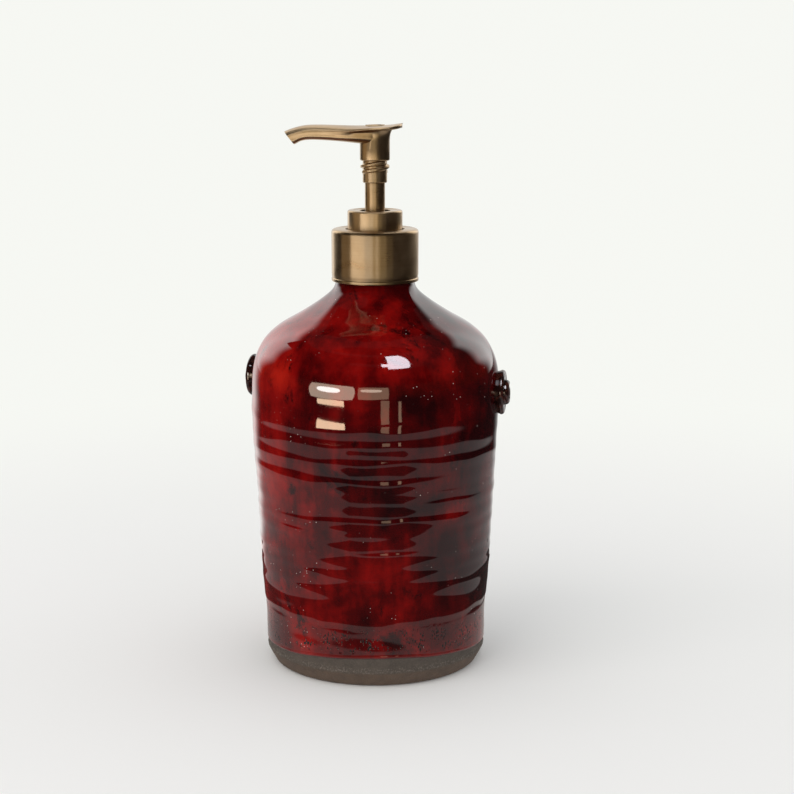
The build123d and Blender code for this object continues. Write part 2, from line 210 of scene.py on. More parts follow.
def surface(
    name: str,
    grid: np.ndarray,
    loop_rows: bool = False,
    capped: bool = False,
    facts: dict[str, np.ndarray] | None = None,
    crease: float = 38.0,
) -> bpy.types.Object:
    """Closed object made from a grid of points in millimetres.

    Args:
        name: the object's name.
        grid: array (rows, columns, 3); columns are joined round.
        loop_rows: whether the last row joins the first.
        capped: whether each end row is closed with a flat face.
        facts: named numbers per grid point, kept as point attributes.
        crease: edges sharper than this many degrees stay crisp.
    Returns:
        The object, its doubles merged and its faces pointing outwards.
    """
    rows, columns = grid.shape[:2]
    faces = quads(rows, columns, loop_rows).tolist()
    if capped:
        faces += [list(range(columns)), list(range((rows - 1) * columns, rows * columns))]
    mesh = bpy.data.meshes.new(name)
    mesh.from_pydata((grid.reshape(-1, 3) * MM).tolist(), [], faces)
    for fact, values in (facts or {}).items():
        layer = mesh.attributes.new(fact, "FLOAT", "POINT")
        layer.data.foreach_set("value", np.ascontiguousarray(values, dtype=np.float32).ravel())
    close_up(mesh, crease)
    return placed(name, mesh)


def close_up(mesh: bpy.types.Mesh, crease: float) -> None:
    """Merges a mesh's doubles, points its faces outwards and shades it smooth up to the crease angle.

    Args:
        mesh: the mesh to finish.
        crease: degrees.
    """
    work = bmesh.new()
    work.from_mesh(mesh)
    bmesh.ops.remove_doubles(work, verts=work.verts, dist=2e-6)
    bmesh.ops.dissolve_degenerate(work, edges=work.edges, dist=1e-7)
    bmesh.ops.recalc_face_normals(work, faces=work.faces)
    work.to_mesh(mesh)
    work.free()
    mesh.shade_smooth()
    mesh.set_sharp_from_angle(angle=math.radians(crease))


def carve(base: bpy.types.Object, other: bpy.types.Object, how: str, crease: float = 38.0) -> None:
    """Joins other to base (UNION) or cuts it out (DIFFERENCE), leaves a plain mesh and removes other.

    Args:
        base: the object that is changed.
        other: the object that is used up.
        how: UNION or DIFFERENCE.
        crease: degrees for the new edges.
    """
    step = base.modifiers.new("carve", "BOOLEAN")
    step.operation = how
    step.solver = "EXACT"
    step.object = other
    ready = base.evaluated_get(bpy.context.evaluated_depsgraph_get())
    mesh = bpy.data.meshes.new_from_object(ready)
    base.modifiers.clear()
    old, base.data = base.data, mesh
    bpy.data.meshes.remove(old)
    bpy.data.objects.remove(other)
    close_up(mesh, crease)


@dataclass(frozen=True)
class Extent:
    """Lowest and highest corners of a CAD node, in millimetres."""

    low: np.ndarray
    high: np.ndarray

    @classmethod
    def of(cls, node: str) -> "Extent":
        """The extent of the node with that name."""
        low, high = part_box(node)
        return cls(np.array(low) / MM, np.array(high) / MM)

    @property
    def bottom(self) -> float:
        """Lowest height."""
        return float(self.low[2])

    @property
    def top(self) -> float:
        """Greatest height."""
        return float(self.high[2])

    @property
    def radius(self) -> float:
        """Half the width across Y, the radius of a turned piece."""
        return float(self.high[1] - self.low[1]) / 2.0


# ---------------------------------------------------------------- finishes


class Slot(Enum):
    """The record's material slots."""

    RUBY_GLAZE = "ruby_glaze"
    DARK_GLAZE = "dark_glaze"
    BRONZE = "bronze_plate"
    NATURAL = "natural_plastic"
    BROWN = "brown_plastic"
    TUBE = "tube_plastic"
    FOAM = "seal_foam"
    GLUE = "adhesive"
    STEEL = "bright_steel"


class Nodes:
    """A node tree and short ways to add to it."""

    def __init__(self, tree: bpy.types.NodeTree) -> None:
        """Keeps the tree."""
        self.tree = tree

    def add(self, kind: str, inputs: dict[Any, Any] | None = None, **settings: Any) -> bpy.types.Node:
        """Adds a node.

        Args:
            kind: the node's type without its ShaderNode prefix.
            inputs: values or sockets by input name or number.
            settings: the node's own properties.
        Returns:
            The node.
        """
        node = self.tree.nodes.new("ShaderNode" + kind)
        for key, value in settings.items():
            setattr(node, key, value)
        for key, value in (inputs or {}).items():
            self.feed(node.inputs[key], value)
        return node

    def feed(self, socket: bpy.types.NodeSocket, value: Any) -> None:
        """Links a socket to value if that is a socket, or else sets it.

        Args:
            socket: an input.
            value: an output, or what the input takes.
        """
        if isinstance(value, bpy.types.NodeSocket):
            self.tree.links.new(value, socket)
        else:
            socket.default_value = value

    def sum(self, operation: str, a: Any, b: Any = 0.0) -> Any:
        """One Math node of two values."""
        return self.add("Math", {0: a, 1: b}, operation=operation).outputs[0]

    def times(self, a: Any, b: Any) -> Any:
        """Product of two values."""
        return self.sum("MULTIPLY", a, b)

    def plus(self, a: Any, b: Any) -> Any:
        """Sum of two values."""
        return self.sum("ADD", a, b)

    def less(self, a: Any, b: Any) -> Any:
        """First value less the second."""
        return self.sum("SUBTRACT", a, b)

    def apart(self, vector: Any) -> Any:
        """The three parts of a vector."""
        return self.add("SeparateXYZ", {0: vector}).outputs

    def level(self, x: Any, y: Any) -> Any:
        """Length of the level vector (x, y)."""
        return self.sum("SQRT", self.plus(self.times(x, x), self.times(y, y)))

    def span(self, value: Any, low: float, high: float, start: float = 0.0, end: float = 1.0) -> Any:
        """Soft step of value from low..high to start..end."""
        inputs = {"Value": value, "From Min": low, "From Max": high, "To Min": start, "To Max": end}
        return self.add("MapRange", inputs, interpolation_type="SMOOTHSTEP").outputs[0]

    def blend(self, amount: Any, a: Any, b: Any, how: str = "MIX") -> Any:
        """Mix of two colours.

        Args:
            amount: 0 for a, 1 for b.
            a: colour or socket.
            b: colour or socket.
            how: blend type.
        Returns:
            The colour socket.
        """
        a, b = (rgba(k) if isinstance(k, tuple) else k for k in (a, b))
        return self.add("Mix", {0: amount, 6: a, 7: b}, data_type="RGBA", blend_type=how).outputs[2]

    def ramp(self, value: Any, *stops: tuple[float, Colour]) -> Any:
        """Colours by value.

        Args:
            value: 0..1.
            stops: a position and its colour each, in order.
        Returns:
            The colour socket.
        """
        node = self.add("ValToRGB", {0: value})
        band = node.color_ramp
        band.elements[0].position, band.elements[0].color = stops[0][0], rgba(stops[0][1])
        band.elements[1].position, band.elements[1].color = stops[-1][0], rgba(stops[-1][1])
        for position, colour in stops[1:-1]:
            band.elements.new(position).color = rgba(colour)
        return node.outputs[0]


class Recipe(Nodes):
    """A material's nodes round one Principled shader, read in the object's own coordinates."""

    def __init__(self, name: str) -> None:
        """Starts a material with that name."""
        self.material = bpy.data.materials.new(name)
        self.material.use_nodes = True
        super().__init__(self.material.node_tree)
        self.shader = self.tree.nodes["Principled BSDF"]
        self.place = self.add("TexCoord").outputs["Object"]

    def dress(self, **sockets: Any) -> bpy.types.Material:
        """Sets the shader's sockets.

        Args:
            sockets: values or outputs by socket name, an underscore standing for a space.
        Returns:
            The material.
        """
        for key, value in sockets.items():
            value = rgba(value) if isinstance(value, tuple) else value
            self.feed(self.shader.inputs[key.replace("_", " ")], value)
        return self.material

    def stretched(self, x: float, y: float, z: float) -> Any:
        """Object coordinates multiplied by a factor on each axis."""
        return self.add("Mapping", {"Vector": self.place, "Scale": (x, y, z)}).outputs[0]

    def noise(
        self, scale: float, detail: float = 4.0, rough: float = 0.55, bend: float = 0.0, place: Any = None
    ) -> Any:
        """Cloudy noise of 0..1.

        Args:
            scale: features per metre.
            detail: octaves.
            rough: share that each finer octave keeps.
            bend: distortion.
            place: coordinates, or None for the object's own.
        Returns:
            The value socket.
        """
        inputs = {"Scale": scale, "Detail": detail, "Roughness": rough, "Distortion": bend}
        return self.add("TexNoise", {"Vector": place or self.place, **inputs}).outputs[0]

    def cells(self, scale: float, place: Any = None, output: int = 0) -> Any:
        """Distance to the nearest of scattered points (output 0) or that point's own random colour (1)."""
        return self.add("TexVoronoi", {"Vector": place or self.place, "Scale": scale}).outputs[output]

    def axis(self, which: int) -> Any:
        """X, Y or Z of the object coordinates, in metres."""
        return self.add("SeparateXYZ", {0: self.place}).outputs[which]

    def relief(self, height: Any, depth: float, strength: float = 1.0, under: Any = None) -> Any:
        """Bump of a height of 0..1.

        Args:
            height: the height socket.
            depth: millimetres that a height of 1 stands tall.
            strength: share of the bump that shows.
            under: another bump below it, or None.
        Returns:
            The normal socket.
        """
        inputs: dict[str, Any] = {"Height": height, "Distance": depth * MM, "Strength": strength}
        if under is not None:
            inputs["Normal"] = under
        return self.add("Bump", inputs).outputs[0]


def rgba(colour: tuple[float, ...]) -> tuple[float, ...]:
    """A colour with full alpha."""
    return (*colour[:3], 1.0)


@dataclass(frozen=True)
class RubyGlaze:
    """Copper red glaze, mottled and run, over a dark clay that is bare below the glaze's edge."""

    slot: Slot = Slot.RUBY_GLAZE
    deep: Colour = (0.014, 0.0008, 0.0012)
    wine: Colour = (0.060, 0.0010, 0.0014)
    ruby: Colour = (0.195, 0.0030, 0.0026)
    flame: Colour = (0.36, 0.010, 0.005)
    shade: Colour = (0.006, 0.0012, 0.0016)
    # Pale colour of the painted glints.
    painted_glint: Colour = (0.80, 0.68, 0.62)
    clay: Colour = (0.088, 0.069, 0.054)
    warm_clay: Colour = (0.122, 0.078, 0.051)
    # Pale colour of the clay's specks and of the painted ridge highlight.
    grit_and_ridge_highlight: Colour = (0.22, 0.185, 0.15)
    gloss: float = 0.035
    mat: float = 0.74

    def make(self) -> bpy.types.Material:
        """The glaze's colours and runs, its pitted band and edge line, the bare clay, and their relief.

        Returns:
            The material.
        """
        r = Recipe(self.slot.value)
        edge = r.add("Attribute", attribute_name="above_edge").outputs["Fac"]
        glazed = r.span(edge, -0.12, 0.12)
        glaze = self.glaze_colour(r, edge)
        colour = r.blend(glazed, self.clay_colour(r), glaze)
        pits = self.pits(r, edge)
        # Painted shade: the pits are darkened to near black.
        colour = r.blend(r.times(pits, glazed), colour, self.shade)
        shine = r.plus(r.span(r.noise(90.0), 0.3, 0.8, self.gloss, self.gloss + 0.035), r.times(pits, 0.3))
        rough = r.plus(r.times(glazed, shine), r.times(r.less(1.0, glazed), self.mat))
        grain = r.times(r.noise(2600.0, 3.0, 0.7), r.less(1.0, glazed))
        peel = r.relief(r.noise(75.0, 2.0, 0.4), 0.055)
        normal = r.relief(grain, 0.22, 0.6, r.relief(r.less(1.0, pits), 0.12, 0.6, peel))
        return r.dress(Base_Color=colour, Roughness=rough, Normal=normal, IOR=1.56)

    def glaze_colour(self, r: Recipe, edge: Any) -> Any:
        """Mottle plus vertical runs on one ramp, painted light on the left and the shoulder, dark blotches, painted
        glints and a painted shade line at the edge.

        Args:
            r: the recipe.
            edge: millimetres above the glaze's edge.
        Returns:
            The colour socket.
        """
        cloud = r.noise(34.0, 3.0, 0.5, 0.5)
        patch = r.noise(105.0, 5.0, 0.62, 0.3)
        runs = r.noise(1.0, 4.0, 0.6, 0.25, r.stretched(150.0, 150.0, 26.0))
        tone = r.plus(r.times(cloud, 0.52), r.times(patch, 0.26))
        tone = r.plus(tone, r.times(runs, 0.22))
        # Painted light: the tone is raised on the left, where the light falls, and lowered on the right.
        painted_light_left = r.span(r.axis(0), -0.038, 0.030, 0.034, -0.080)
        # Painted light: the tone is raised on the upward-facing shoulder.
        painted_light_shoulder = r.times(r.span(r.axis(2), 0.103, 0.124, 0.0, 0.06), r.span(r.axis(2), 0.145, 0.131))
        tone = r.plus(tone, r.plus(painted_light_left, painted_light_shoulder))
        # The tone is lowered at the top of the neck, just under the collar.
        tone = r.less(tone, r.span(r.axis(2), 0.134, 0.146, 0.0, 0.045))
        colour = r.ramp(tone, (0.36, self.deep), (0.47, self.wine), (0.58, self.ruby), (0.72, self.flame))
        blot = r.span(r.noise(62.0, 6.0, 0.66, 0.4, r.stretched(1.0, 1.0, 0.8)), 0.56, 0.67)
        colour = r.blend(r.times(blot, 0.86), colour, self.shade)
        # Painted glints: sparse pale dots in clusters stand in for light caught by tiny bubble craters.
        drop = r.span(r.cells(760.0), 0.16, 0.07)
        rare = r.span(r.apart(r.cells(760.0, None, 1))[0], 0.64, 0.68)
        where = r.span(r.noise(48.0, 4.0, 0.6, 0.0, r.stretched(1.0, 1.0, 1.2)), 0.545, 0.61)
        painted_sparkle = r.times(r.times(drop, rare), where)
        colour = r.blend(r.times(painted_sparkle, 0.85), colour, self.painted_glint)
        lip = r.times(r.span(edge, 0.0, 0.5), r.span(edge, 2.0, 1.0))
        colour = r.blend(r.times(lip, 0.25), colour, (0.29, 0.020, 0.015))
        # Painted shade: a dark line along the glaze's lowest edge, under its rolled bead.
        line = r.times(r.span(edge, -0.2, 0.0), r.span(edge, 0.45, 0.15))
        return r.blend(r.times(line, 0.8), colour, (0.03, 0.004, 0.004))

    def pits(self, r: Recipe, edge: Any) -> Any:
        """Upright pits in the band just above the edge, which the glaze darkens to near black as painted shade.

        Args:
            r: the recipe.
            edge: millimetres above the glaze's edge.
        Returns:
            1 in a pit, 0 elsewhere.
        """
        upright = r.cells(1.0, r.stretched(1250.0, 1250.0, 640.0))
        size = r.span(r.noise(210.0, 3.0), 0.35, 0.65, 0.08, 0.42)
        mark = r.span(r.less(upright, size), 0.06, -0.04)
        band = r.times(r.span(edge, 1.6, 3.4), r.span(edge, 13.5, 9.0))
        return r.times(mark, band)

    def clay_colour(self, r: Recipe) -> Any:
        """Grey-brown clay, warmer on the foot's chamfer, with pale specks that are denser along the turned ridge as
        a painted highlight.

        Args:
            r: the recipe.
        Returns:
            The colour socket.
        """
        body = r.blend(r.span(r.axis(2), 0.0062, 0.0048), self.clay, self.warm_clay)
        body = r.blend(r.span(r.noise(300.0, 5.0, 0.7), 0.3, 0.75, 0.0, 0.5), body, (0.035, 0.028, 0.024))
        # Painted highlight: the pale specks are denser along the turned ridge, where the light catches it.
        ridge = r.times(r.span(r.axis(2), 0.0052, 0.0062), r.span(r.axis(2), 0.0082, 0.0068))
        grit_and_ridge_highlight = r.times(r.span(r.noise(1500.0, 3.0, 0.7), 0.5, 0.64), r.plus(0.14, r.times(ridge, 0.46)))
        return r.blend(grit_and_ridge_highlight, body, self.grit_and_ridge_highlight)


@dataclass(frozen=True)
class DarkGlaze:
    """Red glaze gone nearly black over the stuck-on clay, warmer where it thins on high spots."""

    slot: Slot = Slot.DARK_GLAZE
    thick: Colour = (0.012, 0.004, 0.0035)
    thin: Colour = (0.085, 0.020, 0.013)

    def make(self) -> bpy.types.Material:
        """Two glaze tones in a noise, with a faint orange-peel relief.

        Returns:
            The material.
        """
        r = Recipe(self.slot.value)
        tone = r.span(r.noise(420.0, 5.0, 0.65, 0.4), 0.42, 0.72)
        rough = r.span(r.noise(800.0), 0.3, 0.8, 0.05, 0.15)
        relief = r.relief(r.noise(520.0, 4.0), 0.12, 0.7)
        colour = r.blend(tone, self.thick, self.thin)
        return r.dress(Base_Color=colour, Roughness=rough, Normal=relief, IOR=1.56)


@dataclass(frozen=True)
class Bronze:
    """Antiqued bronze plate under lacquer: brushed round the pump's axis, or satin on the cast head."""

    slot: Slot = Slot.BRONZE
    brushed: bool = True
    bright: Colour = (0.52, 0.375, 0.220)
    aged: Colour = (0.38, 0.255, 0.135)

    def make(self) -> bpy.types.Material:
        """Metal whose tone wanders slightly, with level brush lines or a satin haze in its gloss and relief.

        Returns:
            The material.
        """
        r = Recipe(f"{self.slot.value}_{'brushed' if self.brushed else 'satin'}")
        fine = r.stretched(70.0, 70.0, 3800.0) if self.brushed else r.stretched(900.0, 900.0, 900.0)
        lines = r.noise(1.0, 4.0, 0.6, 0.0, fine)
        haze = r.noise(95.0 if self.brushed else 60.0, 3.0, 0.45, 0.4)
        tone = r.plus(r.times(haze, 0.75), r.times(lines, 0.25))
        colour = r.blend(r.span(tone, 0.28, 0.66), self.aged, self.bright)
        rough = r.span(tone, 0.3, 0.7, 0.27, 0.34) if self.brushed else r.span(tone, 0.3, 0.7, 0.29, 0.34)
        relief = r.relief(lines, 0.004 if self.brushed else 0.0015, 0.4)
        r.dress(Base_Color=colour, Metallic=1.0, Roughness=rough, Normal=relief)
        if self.brushed:
            round_axis = r.add("Tangent", direction_type="RADIAL", axis="Z").outputs[0]
            r.dress(Anisotropic=0.85, Anisotropic_Rotation=0.25, Tangent=round_axis)
        return r.material


@dataclass(frozen=True)
class Plastic:
    """Moulded plastic: colour with faint flow lines, a slight haze and a fine surface grain."""

    slot: Slot
    colour: Colour
    flow: Colour
    rough: float
    clear: float = 0.0

    def make(self) -> bpy.types.Material:
        """Flow lines between two tones, clear passing light through.

        Returns:
            The material.
        """
        r = Recipe(self.slot.value)
        flow = r.noise(1.0, 4.0, 0.6, 0.8, r.stretched(160.0, 160.0, 45.0))
        colour = r.blend(r.span(flow, 0.35, 0.7), self.colour, self.flow)
        rough = r.span(r.noise(700.0, 3.0), 0.3, 0.75, self.rough - 0.05, self.rough + 0.07)
        relief = r.relief(r.noise(2400.0, 3.0, 0.6), 0.03, 0.5)
        sockets = {"Roughness": rough, "Normal": relief, "IOR": 1.5, "Transmission_Weight": self.clear}
        return r.dress(Base_Color=colour, **sockets)


@dataclass(frozen=True)
class Foam:
    """Closed-cell foam of the sealing washer."""

    slot: Slot = Slot.FOAM

    def make(self) -> bpy.types.Material:
        """White foam with small round cells in its relief, their hollows darkened in its colour as painted shade.

        Returns:
            The material.
        """
        r = Recipe(self.slot.value)
        cells = r.span(r.cells(2600.0), 0.15, 0.6)
        # Painted shade: each cell's hollow is a darker grey.
        colour = r.blend(cells, (0.62, 0.61, 0.58), (0.84, 0.83, 0.80))
        return r.dress(Base_Color=colour, Roughness=0.85, Normal=r.relief(cells, 0.08, 0.8), IOR=1.45)


@dataclass(frozen=True)
class Glue:
    """Set epoxy, amber and slightly lumpy."""

    slot: Slot = Slot.GLUE

    def make(self) -> bpy.types.Material:
        """Amber tones with a soft lumpy relief.

        Returns:
            The material.
        """
        r = Recipe(self.slot.value)
        lumps = r.noise(380.0, 4.0, 0.55, 0.5)
        colour = r.blend(lumps, (0.45, 0.31, 0.12), (0.66, 0.52, 0.28))
        return r.dress(Base_Color=colour, Roughness=0.24, Normal=r.relief(lumps, 0.2, 0.7), IOR=1.55)


@dataclass(frozen=True)
class Steel:
    """Bright stainless wire and ball with fine drawing lines."""

    slot: Slot = Slot.STEEL

    def make(self) -> bpy.types.Material:
        """Pale metal with a fine haze in its gloss and relief.

        Returns:
            The material.
        """
        r = Recipe(self.slot.value)
        haze = r.noise(1900.0, 4.0, 0.65)
        colour = r.blend(haze, (0.54, 0.53, 0.51), (0.72, 0.71, 0.69))
        rough = r.span(haze, 0.3, 0.7, 0.14, 0.26)
        return r.dress(Base_Color=colour, Metallic=1.0, Roughness=rough, Normal=r.relief(haze, 0.008, 0.5))


class Finishes:
    """Every finish of the bottle, made once and found by slot."""

    def __init__(self) -> None:
        """Makes the materials."""
        self.satin = Bronze(brushed=False).make()
        recipes = (
            RubyGlaze(), DarkGlaze(), Bronze(), Foam(), Glue(), Steel(),
            Plastic(Slot.NATURAL, (0.80, 0.80, 0.76), (0.70, 0.70, 0.66), 0.36, 0.25),
            Plastic(Slot.BROWN, (0.045, 0.028, 0.017), (0.070, 0.044, 0.026), 0.34),
            Plastic(Slot.TUBE, (0.78, 0.80, 0.80), (0.70, 0.73, 0.74), 0.22, 0.55),
        )
        self.by_slot = {recipe.slot: recipe.make() for recipe in recipes}

    def put(self, piece: bpy.types.Object, slot: Slot) -> None:
        """Gives a new piece the finish of a slot and names that slot.

        Args:
            piece: the new piece.
            slot: its slot.
        """
        piece.data.materials.clear()
        piece.data.materials.append(self.by_slot[slot])

    def put_on_node(self, node: str, slot: Slot) -> None:
        """Gives a carried-over CAD node the finish of a slot, on the object's own material slots.

        Args:
            node: its name.
            slot: its slot.
        """
        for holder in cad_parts[node].material_slots:
            holder.link = "OBJECT"
            holder.material = self.by_slot[slot]


class Piece:
    """Finishes a new piece: gives it its finish, ties it to the body that it rides on and hides the CAD nodes that
    it stands for.
    """

    def __init__(self, made: bpy.types.Object, finishes: Finishes, slot: Slot, body: str, *nodes: str) -> None:
        """Dresses the piece and ties it to the frame.

        Args:
            made: the piece.
            finishes: the finishes.
            slot: its slot.
            body: the body that it rides on.
            nodes: the CAD nodes that it stands for.
        """
        finishes.put(made, slot)
        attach(made, body)
        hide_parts(*nodes)
        LOG.info("%s: %d faces on %s for %s", made.name, len(made.data.polygons), body, ", ".join(nodes))


# ---------------------------------------------------------------- the pot


@dataclass
class StonewareBody:
    """Thrown pot: trimmed foot, ringed wall, shoulder, neck and the hollow inside."""

    finishes: Finishes
    around: int = 280
    wall: Points = (
        (42.2, 6.5), (43.5, 25.0), (44.75, 45.0), (45.9, 70.0), (47.25, 91.0), (47.6, 103.0), (47.0, 115.0),
        (43.4, 124.0), (37.6, 130.0), (28.7, 135.3), (21.0, 140.3), (16.1, 144.4), (14.5, 148.6),
    )
    foot: Points = (
        (0.0, 1.5), (16.0, 1.5), (31.0, 1.5), (32.4, 0.6), (33.4, 0.03), (36.0, 0.0), (38.7, 0.05),
        (39.5, 0.6),
    )
    chamfer: Points = ((39.6, 0.8), (40.4, 2.2), (41.2, 3.6), (41.75, 4.7), (42.15, 5.5), (42.25, 6.1))
    rim: Points = ((14.3, 149.6), (13.9, 150.0), (12.0, 150.0), (11.0, 150.0), (10.6, 149.7))
    inside: Points = (
        (10.6, 149.7), (10.6, 143.5), (11.9, 139.8), (17.0, 135.0), (25.5, 129.8), (34.5, 124.0),
        (40.2, 116.5), (42.6, 103.0), (41.2, 73.0), (39.4, 42.0), (37.6, 12.0), (36.2, 8.9), (33.1, 7.5),
        (16.0, 7.5), (0.0, 7.5),
    )
    rings: Points = (
        (99.2, 0.17, 1.75), (92.0, 0.24, 1.65), (85.6, 0.26, 1.55), (78.6, 0.26, 1.70), (69.6, 0.30, 1.75),
        (63.0, 0.27, 1.45), (57.6, 0.26, 1.45), (50.3, 0.27, 1.45), (45.0, 0.20, 1.25), (40.0, 0.26, 1.60),
        (33.2, 0.18, 1.60), (110.0, 0.06, 2.2), (73.9, 0.12, 1.1), (60.2, 0.10, 0.9),
    )
    row_gaps: Points = ((6.5, 15.0, 0.33), (15.0, 28.0, 0.72), (28.0, 103.8, 0.46))
    rows_above: int = 62
    shrink: float = 0.30
    glaze_lift: float = 0.26
    rolled_edge: float = 0.16
    step_height: float = 25.0
    step_depth: float = 0.26
    sway: float = 0.14
    dents: float = 0.10
    clearance: float = 0.02
    ring_fade: Points = ((12.0, 30.0), (112.0, 122.0))
    wall_fade: Points = ((9.0, 20.0), (136.0, 146.0))
    front_edge: float = 11.2
    side_edge: float = 8.3
    waver: float = 0.32

    def edge(self, angle: np.ndarray) -> np.ndarray:
        """Height of the glaze's edge: side + (front - side) * max(0, -sin a)^2 + waver * ripple(a).

        Args:
            angle: radians.
        Returns:
            Millimetres above the ground.
        """
        front = np.maximum(0.0, -np.sin(angle)) ** 2
        level = self.side_edge + (self.front_edge - self.side_edge) * front
        return level + self.waver * ripple(angle, 5, (2, 3, 5, 9, 14))

    def outline(self) -> np.ndarray:
        """Rows of the outer wall, even along its length above the belly and at stated heights below it.

        Returns:
            Array (rows, 2) of radius and height, closer together where the rings and the glaze's edge are.
        """
        fine = through(self.wall, 60)
        length = np.concatenate(((0.0,), np.cumsum(np.linalg.norm(np.diff(fine, axis=0), axis=1))))
        heights = np.concatenate([np.arange(low, high, gap) for low, high, gap in self.row_gaps])
        marks = np.interp(heights, fine[:, 1], length)
        belly = np.interp(self.row_gaps[-1][1], fine[:, 1], length)
        marks = np.concatenate((marks, np.linspace(belly, length[-1], self.rows_above)))
        return np.stack((np.interp(marks, length, fine[:, 0]), np.interp(marks, length, fine[:, 1])), axis=1)

    def throwing(self, angle: np.ndarray, height: np.ndarray) -> np.ndarray:
        """Throwing rings: the sum of rise * strength(a) * exp(-d^2 / 2), d = (z - ring - drift(a)) / width(a).

        Args:
            angle: (1, around).
            height: (rows, 1).
        Returns:
            Millimetres to add to the radius.
        """
        total = 0.0 * angle + 0.0 * height
        for number, (level, rise, width) in enumerate(self.rings):
            drift = 0.95 * ripple(angle, 11 + number, (1, 2, 3, 5, 8))
            drift = drift + 0.25 * ripple(angle, 77 + number, (9, 13, 19))
            strength = np.clip(0.86 + 0.55 * ripple(angle, 40 + number, (1, 2, 3, 4, 7)), 0.12, 1.35)
            d = (height - level - drift) / (width * (1.0 + 0.22 * ripple(angle, 130 + number, (2, 3, 6))))
            total += rise * strength * np.exp(-0.5 * d * d)
        return total

    def make(self) -> None:
        """Lays the closed profile round Z and adds rings, a low step, the glaze's thickness and a sway."""
        outer = self.outline()
        under, above_wall = np.array(self.foot + self.chamfer), (through(self.rim, 3), through(self.inside, 3))
        profile = np.concatenate((under, outer, *above_wall))
        first = len(self.foot) + len(self.chamfer)
        last = first + len(outer)
        grid = turned(profile, self.around)
        angle = (np.arange(self.around) * TAU / self.around)[None, :]
        height = profile[first:last, 1][:, None]
        above = height - self.edge(angle)
        fade, body = (
            smooth(*start, height) * (1.0 - smooth(*end, height)) for start, end in (self.ring_fade, self.wall_fade)
        )
        step = self.step_height + 1.5 * ripple(angle, 3, (1, 2, 4, 7)) + 0.5 * ripple(angle, 4, (9, 15, 22))
        grow = fade * self.throwing(angle, height)
        grow = grow + body * (self.sway * ripple(angle, 1, (2, 3)) - self.shrink)
        grow = grow + body * self.dents * ripple(angle + 0.035 * height, 2, (3, 5, 8))
        grow = grow + self.step_depth * smooth(-0.9, 0.9, height - step) * body - self.step_depth * body
        grow = grow + self.glaze_lift * (smooth(-0.05, 0.55, above) - 1.0)
        grow = grow + self.rolled_edge * np.exp(-(((above - 0.55) / 0.42) ** 2))
        grow = grow - 0.10 * np.exp(-(((height - 8.2) / 0.8) ** 2))
        widest = Extent.of("ceramic_bottle").radius - self.clearance
        radius = np.minimum(profile[first:last, 0][:, None] + grow, widest)
        grid[first:last, :, 0] = radius * np.cos(angle)
        grid[first:last, :, 1] = radius * np.sin(angle)
        facts = np.full(grid.shape[:2], 40.0)
        facts[:first] = -5.0
        facts[first:last] = above
        pot = surface("stoneware_body", grid, facts={"above_edge": facts}, crease=50.0)
        Piece(pot, self.finishes, Slot.RUBY_GLAZE, "bottle", "ceramic_bottle")


